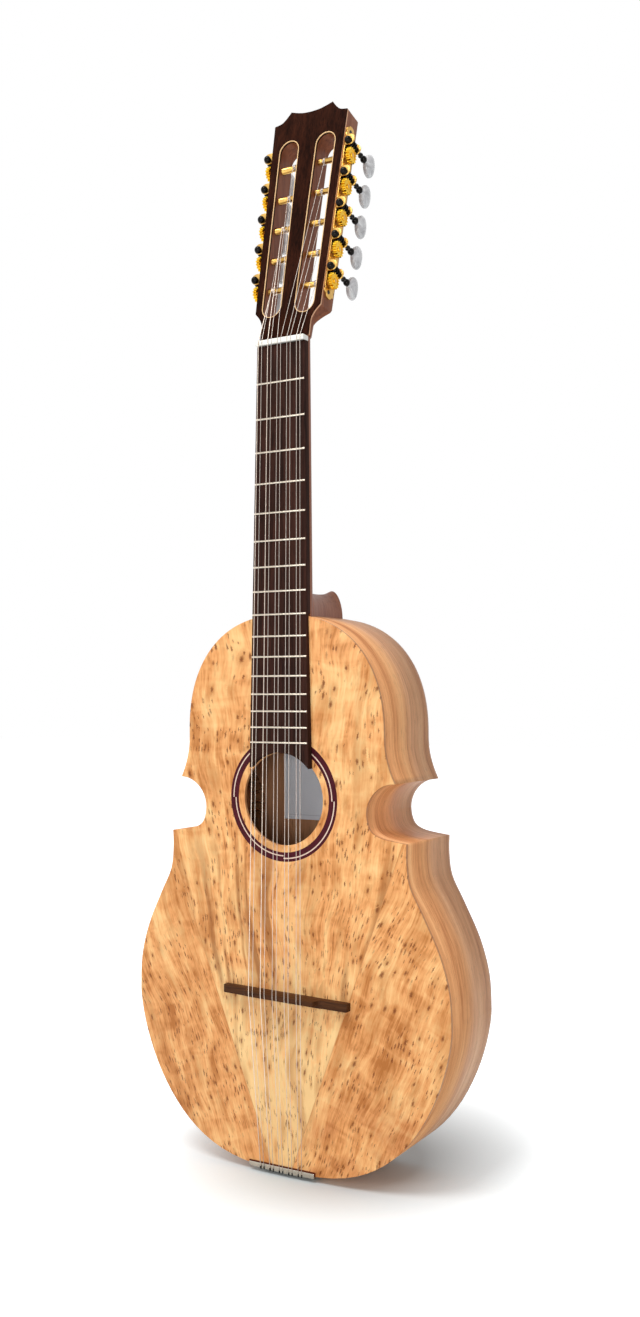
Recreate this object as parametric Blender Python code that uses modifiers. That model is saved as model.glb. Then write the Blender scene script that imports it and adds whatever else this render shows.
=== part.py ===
"""A ten-string cuatro: a violin-shaped body, a slotted headstock with ten tuners and five string pairs.

Sizes are in metres. The instrument is drawn upright, as it hangs: +Z runs up the neck, the soundboard faces
-Y and +X is to the right of someone who looks at the soundboard. While it is drawn, z = 0 is the nut's lower
edge and y = 0 the soundboard's front face. At the end everything is hung from an empty, so that the finished
instrument has its origin where a wall hanger's yoke holds it, under the shoulders of the headstock.
"""

import math

import bmesh
import bpy
from mathutils import Matrix, Vector

mm = 0.001

# Gap kept between pieces that touch, and the running clearance of a shaft in its hole.
seat_gap = 0.3 * mm
shaft_gap = 0.3 * mm

# Strings and frets
scale_length = 525 * mm
fret_count = 16
body_joins_at_fret = 9
fret_width = 2.0 * mm
fret_height = 1.0 * mm
fret_end_margin = 0.6 * mm
fret_end_distance = 4.0 * mm
fret_root = 0.6 * mm
string_count_per_side = 5
string_radii = (0.45 * mm, 0.28 * mm)
pair_gap_at_nut = 3.2 * mm
course_pitch_at_nut = 9.0 * mm
pair_gap_at_bridge = 3.9 * mm
course_pitch_at_bridge = 11.85 * mm
string_lift_at_nut = 0.9 * mm
string_height_at_bridge = 16.6 * mm

# Body
body_length = 471 * mm
body_depth = 80 * mm
upper_bout_half = 95 * mm
upper_bout_at = 99 * mm
upper_bout_power = 2.3
upper_horn_half = 104.5 * mm
upper_horn_at = 135 * mm
waist_half = 78.7 * mm
waist_at = 160 * mm
lower_horn_half = 115 * mm
lower_horn_at = 182 * mm
lower_bout_half = 155 * mm
lower_bout_at = 328 * mm
lower_bout_powers = (2.86, 1.6)
soundboard_thickness = 2.8 * mm
back_thickness = 3.0 * mm
rib_thickness = 2.5 * mm
soundhole_radius = 38.5 * mm
soundhole_at = 150.7 * mm
rosette_margin = 5.8 * mm
rosette_width = 7.9 * mm
rosette_thickness = 0.9 * mm
brace_width = 8 * mm
brace_height = 12 * mm
brace_end_gap = 0.5 * mm
upper_brace_at = 92 * mm
lower_brace_at = 212 * mm
upper_back_brace_at = 94 * mm
lower_back_brace_at = 300 * mm
neck_block_width = 56 * mm
neck_block_length = 28 * mm
tail_block_width = 60 * mm
tail_block_length = 18 * mm
label_width = 97 * mm
label_height = 66 * mm
label_thickness = 0.4 * mm
label_above_hole = 8 * mm

# Neck, fretboard and nut
neck_angle = math.radians(1.7)
fretboard_setback = 3.6 * mm
fretboard_thickness = 5.5 * mm
fretboard_half_at_nut = 22.5 * mm
fretboard_spread = 0.01816
neck_depth_at_nut = 13.7 * mm
neck_depth_at_heel = 16.7 * mm
neck_side_height = 0.5 * mm
neck_head_blend = 18 * mm
heel_half_at_neck = 22.0 * mm
heel_half_at_back = 11.0 * mm
heel_seat_margin = 3 * mm
heel_height = 22.5 * mm
heel_foot = 8 * mm
heel_behind_seat = 8 * mm
tenon_half = 9.0 * mm
tenon_length = 14.0 * mm
tenon_depth = 52.0 * mm
tenon_from_soundboard = 4.0 * mm
nut_thickness = 4.2 * mm
nut_height_over_frets = 2.0 * mm
nut_rounding = 0.7 * mm

# Headstock
headstock_angle = math.radians(13.3)
headstock_face_y = 8.1 * mm
headstock_length = 198 * mm
headstock_thickness = 18.5 * mm
veneer_thickness = 2.0 * mm
shoulder_start = 13 * mm
shoulder_end = 25.5 * mm
shoulder_half = 30.8 * mm
headstock_half_at_top = 34.5 * mm
headstock_corner_drop = 9.5 * mm
chin_start = 8 * mm
chin_end = 31 * mm
chin_start_depth = 4 * mm
slot_width = 17.5 * mm
slot_start = 21.0 * mm
slot_end = 172 * mm
slot_centre_at_start = 15.6 * mm
slot_centre_at_end = 17.4 * mm

# Tuners. Distances along the headstock are measured from its face's lower end.
first_roller_at = 47 * mm
roller_pitch = 26.3 * mm
roller_depth = 7.4 * mm
roller_radius = 2.9 * mm
roller_waist_radius = 2.2 * mm
roller_waist_length = 8.0 * mm
roller_pin_radius = 1.8 * mm
roller_pin_length = 3.5 * mm
roller_spigot_radius = 1.6 * mm
plate_thickness = 1.0 * mm
plate_width = 13.4 * mm
plate_low_margin = 13 * mm
plate_high_margin = 16 * mm
gear_teeth = 14
gear_pitch_radius = 5.8 * mm
gear_addendum = 0.5 * mm
gear_dedendum = 0.8 * mm
gear_thickness = 3.2 * mm
gear_standoff = 4.6 * mm
worm_pitch_radius = 3.2 * mm
worm_core_radius = 2.35 * mm
worm_thread_radius = 0.6 * mm
worm_shoulder = 0.4 * mm
worm_turns = 2.6
thread_points_per_turn = 7
worm_shaft_radius = 1.5 * mm
worm_ball_radius = 3.0 * mm
worm_ball_depth = -2.4 * mm
bearing_thickness = 1.2 * mm
bearing_half_width = 4.4 * mm
bearing_front_depth = 1.8 * mm
bearing_rear_depth = 13.0 * mm
worm_collar_radius = 2.8 * mm
worm_collar_depth = 26.0 * mm
button_depth = 35.0 * mm
button_size = (6.6 * mm, 18.4 * mm, 12.6 * mm)
winding_turns = 2
winding_spacing = 0.55 * mm
first_lane_x = 20 * mm
lane_step = 1.5 * mm
winding_points_per_turn = 8
winding_start_angle = -0.35

# Bridge and tail plate
bridge_shift = 2.4 * mm
bridge_half_length = 61.3 * mm
bridge_middle_half = 34.5 * mm
bridge_thickness = 7.0 * mm
bridge_slant = math.radians(1.5)
bridge_before_strings = 0.55 * mm
saddle_thickness = 4.0 * mm
saddle_compensation = 2.0 * mm
bridge_wing_height = 6.5 * mm
bridge_shoulder = 2.0 * mm
bridge_wing_fall = 0.8 * mm
tail_shift = -5.0 * mm
tail_plate_half = 33.0 * mm
tail_plate_thickness = 1.2 * mm
tail_lip_height = 5.0 * mm
tail_plate_depth = 22.0 * mm
tail_pin_radius = 0.9 * mm
tail_pin_length = 3.0 * mm
tail_pin_y = 11.0 * mm
pair_gap_at_tail = 3.4 * mm
course_pitch_at_tail = 9.6 * mm

# The wall hanger's yoke: the finished instrument's origin
yoke_y = 21 * mm
yoke_z = 18 * mm

colours = {
    "soundboard": ((0.78, 0.55, 0.30), 0.45, 0.0),
    "ribs": ((0.52, 0.33, 0.20), 0.45, 0.0),
    "back": ((0.50, 0.32, 0.19), 0.45, 0.0),
    "linings": ((0.66, 0.50, 0.33), 0.70, 0.0),
    "neck": ((0.30, 0.13, 0.08), 0.40, 0.0),
    "rosewood": ((0.07, 0.03, 0.03), 0.35, 0.0),
    "rosette": ((0.15, 0.02, 0.03), 0.35, 0.0),
    "bone": ((0.88, 0.86, 0.78), 0.35, 0.0),
    "gold": ((0.90, 0.62, 0.18), 0.25, 1.0),
    "black_metal": ((0.03, 0.03, 0.03), 0.30, 1.0),
    "nickel": ((0.70, 0.70, 0.68), 0.30, 1.0),
    "string": ((0.72, 0.70, 0.66), 0.30, 1.0),
    "paper": ((0.72, 0.76, 0.80), 0.80, 0.0),
}


# Starting from an empty scene
for old in list(bpy.data.objects):
    bpy.data.objects.remove(old, do_unlink=True)

parts = bpy.data.collections.new("cuatro")
cutters = bpy.data.collections.new("cutters")
bpy.context.scene.collection.children.link(parts)
bpy.context.scene.collection.children.link(cutters)


# Helpers

def material(name):
    """The Principled material of this colour name, made the first time it is asked for."""
    made = bpy.data.materials.get(name)
    if made:
        return made
    colour, roughness, metallic = colours[name]
    made = bpy.data.materials.new(name)
    made.use_nodes = True
    shader = made.node_tree.nodes["Principled BSDF"]
    shader.inputs["Base Color"].default_value = (*colour, 1.0)
    shader.inputs["Roughness"].default_value = roughness
    shader.inputs["Metallic"].default_value = metallic
    return made


def finished(obj, material_name, smooth_angle=30):
    """Gives a part its material and smooth shading up to an angle."""
    obj.data.materials.clear()
    obj.data.materials.append(material(material_name))
    obj.data.shade_smooth()
    obj.data.set_sharp_from_angle(angle=math.radians(smooth_angle))
    return obj


def mesh_object(name, bm, collection=None):
    """A new object that holds this bmesh, in the parts unless another collection is named."""
    mesh = bpy.data.meshes.new(name)
    bm.normal_update()
    bm.to_mesh(mesh)
    bm.free()
    obj = bpy.data.objects.new(name, mesh)
    (collection or parts).objects.link(obj)
    return obj


def as_cutter(obj):
    """Marks an object as a cutter, which is kept in its own collection and not rendered."""
    for collection in list(obj.users_collection):
        collection.objects.unlink(obj)
    cutters.objects.link(obj)
    obj.hide_render = True
    obj.display_type = "WIRE"
    return obj


def boolean(obj, other, operation):
    """Adds a Boolean modifier, with the other object kept as a cutter."""
    as_cutter(other)
    modifier = obj.modifiers.new(operation.lower(), "BOOLEAN")
    modifier.operation = operation
    modifier.object = other
    modifier.solver = "EXACT"


def baked(obj):
    """Replaces an object's mesh by its evaluated one, in place, and drops its modifiers."""
    bpy.context.view_layer.update()
    graph = bpy.context.evaluated_depsgraph_get()
    mesh = bpy.data.meshes.new_from_object(obj.evaluated_get(graph))
    obj.modifiers.clear()
    obj.data = mesh
    return obj


def plate(name, outlines, low, high, matrix=Matrix.Identity(4)):
    """A flat piece cut to closed outlines, its edge first and then its holes, from low to high in local z."""
    curve = bpy.data.curves.new(name, "CURVE")
    curve.dimensions = "2D"
    curve.fill_mode = "BOTH"
    curve.extrude = (high - low) / 2
    for outline in outlines:
        spline = curve.splines.new("POLY")
        spline.points.add(len(outline) - 1)
        for point, (x, y) in zip(spline.points, outline):
            point.co = (x, y, 0, 1)
        spline.use_cyclic_u = True
    drawn = bpy.data.objects.new(name + "_outline", curve)
    parts.objects.link(drawn)
    bpy.context.view_layer.update()
    graph = bpy.context.evaluated_depsgraph_get()
    mesh = bpy.data.meshes.new_from_object(drawn.evaluated_get(graph))
    bpy.data.objects.remove(drawn, do_unlink=True)
    bm = bmesh.new()
    bm.from_mesh(mesh)
    bmesh.ops.remove_doubles(bm, verts=bm.verts, dist=1e-6)
    bmesh.ops.recalc_face_normals(bm, faces=bm.faces)
    bmesh.ops.translate(bm, verts=bm.verts, vec=(0, 0, (low + high) / 2))
    obj = mesh_object(name, bm)
    obj.matrix_world = matrix
    return obj


def box(name, low, high):
    """A block between two opposite corners."""
    bm = bmesh.new()
    bmesh.ops.create_cube(bm, size=1)
    size = Vector(high) - Vector(low)
    bmesh.ops.scale(bm, vec=size, verts=bm.verts)
    bmesh.ops.translate(bm, vec=(Vector(high) + Vector(low)) / 2, verts=bm.verts)
    return mesh_object(name, bm)


def cylinder(name, radius, start, end, sides):
    """A round bar from start to end."""
    start, end = Vector(start), Vector(end)
    along = end - start
    bm = bmesh.new()
    bmesh.ops.create_cone(bm, cap_ends=True, segments=sides, depth=along.length,
                          radius1=radius, radius2=radius)
    turn = Vector((0, 0, 1)).rotation_difference(along).to_matrix().to_4x4()
    bmesh.ops.transform(bm, matrix=Matrix.Translation((start + end) / 2) @ turn, verts=bm.verts)
    return mesh_object(name, bm)


def turned(name, profile, sides):
    """A piece turned about its own z axis, from a profile of (radius, height) that runs from the top down."""
    bm = bmesh.new()
    points = [bm.verts.new((radius, 0, height)) for radius, height in profile]
    for a, b in zip(points, points[1:]):
        bm.edges.new((a, b))
    obj = mesh_object(name, bm)
    screw = obj.modifiers.new("turn", "SCREW")
    screw.steps = screw.render_steps = sides
    screw.use_merge_vertices = True
    screw.merge_threshold = 1e-6
    return baked(obj)


def loft(name, sections):
    """A closed solid through rings with the same number of points, capped at both ends."""
    bm = bmesh.new()
    rings = [[bm.verts.new(point) for point in section] for section in sections]
    count = len(rings[0])
    for lower, upper in zip(rings, rings[1:]):
        for i in range(count):
            j = (i + 1) % count
            bm.faces.new((lower[i], lower[j], upper[j], upper[i]))
    bm.faces.new(rings[0])
    bm.faces.new(rings[-1])
    bmesh.ops.recalc_face_normals(bm, faces=bm.faces)
    return mesh_object(name, bm)


def tube(name, points, radius, rings=1):
    """A round wire along points, as a POLY curve made a mesh with welded caps."""
    curve = bpy.data.curves.new(name, "CURVE")
    curve.dimensions = "3D"
    curve.bevel_depth = radius
    curve.bevel_resolution = rings
    curve.use_fill_caps = True
    spline = curve.splines.new("POLY")
    spline.points.add(len(points) - 1)
    for point, place in zip(spline.points, points):
        point.co = (*place, 1)
    drawn = bpy.data.objects.new(name + "_route", curve)
    parts.objects.link(drawn)
    bpy.context.view_layer.update()
    graph = bpy.context.evaluated_depsgraph_get()
    mesh = bpy.data.meshes.new_from_object(drawn.evaluated_get(graph))
    bpy.data.objects.remove(drawn, do_unlink=True)
    bm = bmesh.new()
    bm.from_mesh(mesh)
    bmesh.ops.remove_doubles(bm, verts=bm.verts, dist=1e-6)
    return mesh_object(name, bm)


def circle(radius, centre, sides):
    """Points round a circle, counter-clockwise."""
    steps = (2 * math.pi * i / sides for i in range(sides))
    return [(centre[0] + radius * math.cos(a), centre[1] + radius * math.sin(a)) for a in steps]


def smooth_through(knots, per_span):
    """Points of a Catmull-Rom curve through the knots, both end knots included."""
    padded = [knots[0], *knots, knots[-1]]
    points = []
    for p0, p1, p2, p3 in zip(padded, padded[1:], padded[2:], padded[3:]):
        for i in range(per_span):
            t = i / per_span
            weights = ((-t + 2 * t ** 2 - t ** 3) / 2, (2 - 5 * t ** 2 + 3 * t ** 3) / 2,
                       (t + 4 * t ** 2 - 3 * t ** 3) / 2, (t ** 3 - t ** 2) / 2)
            points.append(tuple(sum(w * v for w, v in zip(weights, values))
                                for values in zip(p0, p1, p2, p3)))
    points.append(tuple(knots[-1]))
    return points


# Places that several pieces share

def fret_z(number):
    return -scale_length * (1 - 2 ** (-number / 12))


def fretboard_top_y(z):
    return fretboard_setback + z * math.tan(neck_angle)


def fretboard_half(z):
    return fretboard_half_at_nut - z * fretboard_spread


apex_z = fret_z(body_joins_at_fret)
tail_z = apex_z - body_length
hole_z = apex_z - soundhole_at
bridge_z = -scale_length - saddle_compensation
body_plane = Matrix.Rotation(math.pi / 2, 4, "X")
back_y = body_depth - back_thickness
neck_seat_y = fretboard_thickness + seat_gap
headstock_frame = (Matrix.Translation((0, headstock_face_y, nut_thickness))
                   @ Matrix.Rotation(math.pi / 2 - headstock_angle, 4, "X"))


def half_outline(seat_half):
    """The body's right edge as (half width, z), from the heel's flat seat down to the tail."""
    edge = [(0.0, 0.0), (seat_half, 0.0)]
    for step in range(2, 10):
        turn = math.radians(10 * step if step < 9 else 90)
        wide = upper_bout_half * math.sin(turn) ** (2 / upper_bout_power)
        if wide > seat_half * 1.3:
            edge.append((wide, upper_bout_at * (1 - math.cos(turn) ** (2 / upper_bout_power))))
    for step in range(1, 5):
        share = step / 4
        edge.append((upper_bout_half + (upper_horn_half - upper_bout_half) * share ** 2,
                     upper_bout_at + (upper_horn_at - upper_bout_at) * share))
    for share in (0.8, 0.58, 0.36, 0.16, 0.0):
        edge.append((waist_half + (upper_horn_half - waist_half) * (1 - math.sqrt(1 - share ** 2)),
                     waist_at - (waist_at - upper_horn_at) * share))
    horn_width = lower_horn_half - waist_half
    horn_drop = lower_horn_at - waist_at
    edge += [(waist_half + horn_width * w, waist_at + horn_drop * d)
             for w, d in ((0.035, 0.36), (0.14, 0.66), (0.36, 0.84), (0.67, 0.936), (1.0, 1.0))]
    swell = [(lower_horn_half + (lower_bout_half - lower_horn_half) * w,
              lower_horn_at + (lower_bout_at - lower_horn_at) * d)
             for w, d in ((0.0, 0.0), (0.0, 0.105), (0.075, 0.235), (0.36, 0.385), (0.73, 0.59),
                          (0.948, 0.795), (1.0, 1.0))]
    edge += smooth_through(swell, 2)[1:]
    across, along = lower_bout_powers
    for degrees in (9, 18, 27, 36, 45, 53, 61, 69, 77, 84):
        turn = math.radians(degrees)
        edge.append((lower_bout_half * math.cos(turn) ** (2 / across),
                     lower_bout_at + (body_length - lower_bout_at) * math.sin(turn) ** (2 / along)))
    edge.append((0.0, body_length))
    return [(wide, apex_z - down) for wide, down in edge]


right_edge = half_outline(heel_half_at_back + heel_seat_margin)
body_outline = right_edge + [(-x, z) for x, z in reversed(right_edge[1:-1])]


def body_half_at(z):
    """Half the body's width at a height."""
    for (wide, top), (next_wide, bottom) in zip(right_edge, right_edge[1:]):
        if bottom <= z <= top and top > bottom:
            return wide + (next_wide - wide) * (top - z) / (top - bottom)
    return 0.0


def edge_z(x, upper):
    """The body's upper or lower edge at a distance from the middle."""
    if upper:
        bout = [(w, z) for w, z in right_edge if z > apex_z - upper_bout_at]
    else:
        bout = [(w, z) for w, z in right_edge if z < apex_z - lower_bout_at]
    for (wide, z), (next_wide, next_z) in zip(bout, bout[1:]):
        if min(wide, next_wide) <= abs(x) <= max(wide, next_wide):
            return z + (next_z - z) * (abs(x) - wide) / (next_wide - wide)
    return tail_z


# Soundboard: a plate cut to the outline, with the soundhole and a groove that takes the rosette

rosette_inner_radius = soundhole_radius + rosette_margin
rosette_outer_radius = rosette_inner_radius + rosette_width
soundboard = plate("soundboard", [body_outline, circle(soundhole_radius, (0, hole_z), 32)],
                   -soundboard_thickness, 0, body_plane)
groove = plate("rosette_groove", [circle(rosette_outer_radius + seat_gap, (0, hole_z), 36),
                                  circle(rosette_inner_radius - seat_gap, (0, hole_z), 36)],
               -rosette_thickness - seat_gap, 1 * mm, body_plane)
boolean(soundboard, groove, "DIFFERENCE")
finished(baked(soundboard), "soundboard")

rosette = plate("rosette", [circle(rosette_outer_radius, (0, hole_z), 36),
                            circle(rosette_inner_radius, (0, hole_z), 36)],
                -rosette_thickness, 0, body_plane)
finished(rosette, "rosette")

# Back plate

back_plate = plate("back_plate", [body_outline], -body_depth, -back_y, body_plane)
finished(back_plate, "back")


# Ribs: one strip of bent wood for each side, open at the neck's tenon and meeting on the tail block

def rib(name, side):
    """A strip that follows one side of the outline, made thick inwards."""
    first = next(i for i, (x, _) in enumerate(right_edge) if x > tenon_half + seat_gap)
    line = [(tenon_half + seat_gap, apex_z), *right_edge[first:-1], (seat_gap / 2, tail_z)]
    bm = bmesh.new()
    front = soundboard_thickness + seat_gap
    verts = [bm.verts.new((side * x, front, z)) for x, z in line]
    edges = [bm.edges.new(pair) for pair in zip(verts, verts[1:])]
    drawn = bmesh.ops.extrude_edge_only(bm, edges=edges)["geom"]
    moved = [item for item in drawn if isinstance(item, bmesh.types.BMVert)]
    bmesh.ops.translate(bm, verts=moved, vec=(0, back_y - seat_gap - front, 0))
    bmesh.ops.recalc_face_normals(bm, faces=bm.faces)
    bm.faces.ensure_lookup_table()
    bm.normal_update()
    widest = max(bm.faces, key=lambda face: side * face.calc_center_median().x)
    if widest.normal.x * side < 0:
        bmesh.ops.reverse_faces(bm, faces=bm.faces)
    obj = mesh_object(name, bm)
    solidify = obj.modifiers.new("thickness", "SOLIDIFY")
    solidify.thickness = rib_thickness
    solidify.offset = -1
    solidify.use_even_offset = True
    return finished(baked(obj), "ribs")


rib("rib_left", -1)
rib("rib_right", 1)


# Blocks inside the body: the neck block takes the heel's tenon, the tail block the strings' pull

inside_front = soundboard_thickness + seat_gap
inside_back = back_y - seat_gap
block_top = edge_z(neck_block_width / 2, True) - rib_thickness - 2 * seat_gap
neck_block = box("neck_block", (-neck_block_width / 2, inside_front, block_top - neck_block_length),
                 (neck_block_width / 2, inside_back, block_top))
tenon_low = apex_z - tenon_length
tenon_front = inside_front + tenon_from_soundboard
mortise = box("mortise", (-tenon_half - seat_gap, tenon_front, tenon_low - seat_gap),
              (tenon_half + seat_gap, tenon_front + tenon_depth + 2 * seat_gap, apex_z))
boolean(neck_block, mortise, "DIFFERENCE")
finished(baked(neck_block), "linings")

block_low = edge_z(tail_block_width / 2, False) + rib_thickness + 2 * seat_gap
tail_block = box("tail_block", (-tail_block_width / 2, inside_front, block_low),
                 (tail_block_width / 2, inside_back, block_low + tail_block_length))
finished(tail_block, "linings")


# Braces: bars across the soundboard and the back, cut to fit between the ribs

def brace(name, distance_from_apex, low_y):
    """A bar across the body, with its front at low_y."""
    z = apex_z - distance_from_apex
    reach = min(body_half_at(z + brace_width / 2), body_half_at(z - brace_width / 2))
    half = reach - rib_thickness - brace_end_gap
    bar = box(name, (-half, low_y, z - brace_width / 2), (half, low_y + brace_height, z + brace_width / 2))
    return finished(bar, "linings")


brace("upper_brace", upper_brace_at, inside_front)
brace("lower_brace", lower_brace_at, inside_front)
brace("back_brace_upper", upper_back_brace_at, inside_back - brace_height)
brace("back_brace_lower", lower_back_brace_at, inside_back - brace_height)

label_low = hole_z + label_above_hole - label_height / 2
label = box("label", (-label_width / 2, inside_back - label_thickness, label_low),
            (label_width / 2, inside_back, label_low + label_height))
finished(label, "paper")


# Neck: a D-shaped shaft, a heel with a tenon, and the slotted headstock, carved as one piece

def d_section(half, front_y, depth, z):
    """A ring across the shaft: flat towards the fretboard, round behind."""
    ring = [(-half, front_y, z), (half, front_y, z)]
    for step in range(0, 11):
        turn = math.radians(18 * step)
        ring.append((half * math.cos(turn), front_y + neck_side_height + depth * math.sin(turn), z))
    return ring


def board_seat_y(z):
    """The neck's flat face under the fretboard."""
    return fretboard_top_y(z) + neck_seat_y


def head_seat_y(z):
    """The shaft's front where it runs up behind the headstock's face, a little behind the core's front."""
    behind = (veneer_thickness + seat_gap + 0.5 * mm) / math.cos(headstock_angle)
    return headstock_face_y + (z - nut_thickness) * math.tan(headstock_angle) + behind


neck_end_z = apex_z + seat_gap
heel_foot_z = apex_z - heel_foot
neck = loft("neck", [
    d_section(fretboard_half(heel_foot_z), board_seat_y(heel_foot_z), neck_depth_at_heel, heel_foot_z),
    d_section(fretboard_half(neck_end_z / 2), board_seat_y(neck_end_z / 2),
              (neck_depth_at_heel + neck_depth_at_nut) / 2, neck_end_z / 2),
    d_section(fretboard_half_at_nut, board_seat_y(0), neck_depth_at_nut, 0),
    d_section(fretboard_half_at_nut, board_seat_y(0), neck_depth_at_nut, nut_thickness),
    d_section(fretboard_half_at_nut, head_seat_y(nut_thickness + 0.4 * mm), neck_depth_at_nut - 0.8 * mm,
              nut_thickness + 0.4 * mm),
    d_section(fretboard_half_at_nut + 0.8 * mm, head_seat_y(neck_head_blend), headstock_thickness - 4.4 * mm,
              neck_head_blend),
    d_section(shoulder_half - 5 * mm, head_seat_y(chin_end), headstock_thickness - 4.2 * mm, chin_end),
])


def heel_section(y, half, height, crown):
    """A ring across the heel: flat where it meets the body, arched towards the neck, pointed where crown is high."""
    ring = [(-half, y, heel_foot_z), (half, y, heel_foot_z)]
    side_z = neck_end_z + 1 * mm
    for step in range(0, 9):
        turn = math.radians(22.5 * step)
        ring.append((half * math.cos(turn), y, side_z + (height - 1 * mm) * math.sin(turn) ** crown))
    return ring


# Shares of the heel's depth, of its narrowing from the neck to the back, and of its height above the body
heel_stations = ((0.0, 0.0, 2.10), (0.08, 0.07, 1.45), (0.17, 0.22, 1.07), (0.30, 0.44, 0.93),
                 (0.50, 0.68, 0.87), (0.70, 0.85, 0.88), (0.85, 0.94, 0.93), (0.94, 0.98, 1.01), (1.0, 1.0, 1.07))
heel_crown_at_neck = 0.7
heel_crown_at_back = 1.1
heel_start_y = board_seat_y(neck_end_z) + heel_behind_seat
heel_reach = body_depth - heel_start_y
heel = loft("heel", [
    heel_section(heel_start_y + heel_reach * share,
                 heel_half_at_neck - (heel_half_at_neck - heel_half_at_back) * narrowing,
                 heel_height * tall,
                 heel_crown_at_neck + (heel_crown_at_back - heel_crown_at_neck) * share)
    for share, narrowing, tall in heel_stations])
boolean(neck, heel, "UNION")
body_and_gap = plate("body_and_gap", [[(x, z + seat_gap) for x, z in body_outline]],
                     -2 * body_depth, body_depth, body_plane)
boolean(neck, body_and_gap, "DIFFERENCE")
tenon = box("tenon", (-tenon_half, tenon_front + seat_gap, tenon_low),
            (tenon_half, tenon_front + seat_gap + tenon_depth, neck_end_z + 3 * mm))
boolean(neck, tenon, "UNION")


straight_length = headstock_length - headstock_corner_drop - shoulder_end
edge_lean = math.atan((headstock_half_at_top - shoulder_half) / straight_length)


def headstock_half_at(s):
    """Half the headstock's width, above its shoulders."""
    return shoulder_half + (headstock_half_at_top - shoulder_half) * (s - shoulder_end) / straight_length


def headstock_outline(start_s):
    """The headstock's edge in its own plane: shoulders, straight sides, scooped corners, two peaks on top."""
    half_nut = fretboard_half_at_nut + 0.6 * mm
    rise = shoulder_end - shoulder_start
    grow = shoulder_half - half_nut
    right = [(half_nut, start_s), (half_nut, shoulder_start)]
    right += [(half_nut + grow * w, shoulder_start + rise * d)
              for w, d in ((0.12, 0.30), (0.42, 0.62), (0.78, 0.86), (1.0, 1.0))]
    right += [(headstock_half_at_top * w, headstock_length - drop)
              for w, drop in ((1.0, headstock_corner_drop), (0.82, 8.3 * mm), (0.72, 5.9 * mm), (0.63, 2.6 * mm),
                              (0.57, 0.0), (0.38, 2.1 * mm), (0.2, 3.4 * mm), (0.0, 3.8 * mm))]
    return right + [(-x, s) for x, s in reversed(right[:-1])]


def slot_outline(side):
    """A slot's edge: straight sides that lean with the headstock's edge, and round ends."""
    radius = slot_width / 2
    low = (side * slot_centre_at_start, slot_start + slot_width / 2)
    high = (side * slot_centre_at_end, slot_end - slot_width / 2)
    lean = math.atan2(high[1] - low[1], high[0] - low[0]) - math.pi / 2
    bottom = [math.pi + lean + math.pi * i / 8 for i in range(9)]
    top = [lean + math.pi * i / 8 for i in range(9)]
    points = [(low[0] + radius * math.cos(a), low[1] + radius * math.sin(a)) for a in bottom]
    return points + [(high[0] + radius * math.cos(a), high[1] + radius * math.sin(a)) for a in top]


core = plate("headstock_core", [headstock_outline(seat_gap)],
             -headstock_thickness, -veneer_thickness - seat_gap, headstock_frame)
behind_head = headstock_thickness + 1 * mm
chin_profile = [(chin_start, chin_start_depth), (chin_end, behind_head),
                (-headstock_thickness, behind_head), (-headstock_thickness, chin_start_depth)]
profile_frame = headstock_frame @ Matrix(((0, 0, 1, 0), (1, 0, 0, 0), (0, 1, 0, 0), (0, 0, 0, 1)))
chin = plate("chin_cut", [[(s, -depth) for s, depth in chin_profile]],
             -2 * shoulder_half, 2 * shoulder_half, profile_frame)
boolean(core, chin, "DIFFERENCE")
baked(core)
boolean(neck, core, "UNION")

# Both slots go through the core and the shaft's end behind it. Each roller gets a hole through the side
# and into the middle bar.
for side in (1, -1):
    opening = plate("slot_opening", [slot_outline(side)],
                    -3 * headstock_thickness, headstock_thickness, headstock_frame)
    boolean(neck, opening, "DIFFERENCE")


def roller_s(index):
    """Where a roller crosses the headstock's edge, counted from the nut."""
    return first_roller_at + roller_pitch * index


def tuner_frame(side, index):
    """One tuner's frame: origin on the headstock's edge at the roller's axis, x outwards along that axis."""
    s = roller_s(index)
    place = Matrix.Translation((side * headstock_half_at(s), s, -roller_depth))
    lean = Matrix.Rotation(-side * edge_lean, 4, "Z")
    turn = Matrix.Rotation(0 if side > 0 else math.pi, 4, "Y")
    return headstock_frame @ place @ lean @ turn


def slot_inner_x(s):
    """The middle bar's edge next to a slot."""
    share = (s - slot_start) / (slot_end - slot_start)
    return slot_centre_at_start + (slot_centre_at_end - slot_centre_at_start) * share - slot_width / 2


def roller_inner_reach(index):
    """How far inwards from the headstock's edge a roller's pin ends."""
    s = roller_s(index)
    return headstock_half_at(s) - slot_inner_x(s) + roller_pin_length


def lane(index):
    """Where a string winds along its roller, from the edge: each further roller's lane is nearer the middle."""
    return first_lane_x - lane_step * index - headstock_half_at(roller_s(index))


for side in (1, -1):
    for index in range(string_count_per_side):
        hole = cylinder("roller_hole", roller_radius + shaft_gap, (-slot_width, 0, 0), (2 * mm, 0, 0), 12)
        hole.matrix_world = tuner_frame(side, index)
        boolean(neck, hole, "DIFFERENCE")
        socket = cylinder("roller_socket", roller_pin_radius + shaft_gap,
                          (-roller_inner_reach(index) - seat_gap, 0, 0), (-slot_width, 0, 0), 8)
        socket.matrix_world = tuner_frame(side, index)
        boolean(neck, socket, "DIFFERENCE")
finished(baked(neck), "neck")

veneer_outlines = [headstock_outline(seat_gap + 0.5 * mm), slot_outline(1), slot_outline(-1)]
head_veneer = plate("head_veneer", veneer_outlines, -veneer_thickness, 0, headstock_frame)
finished(head_veneer, "rosewood")


# Fretboard: a wedge that lies on the neck and on the soundboard, cut round at the soundhole, with its frets

board_end_radius = soundhole_radius + 0.2 * mm
board_end_middle_z = hole_z + board_end_radius


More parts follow.
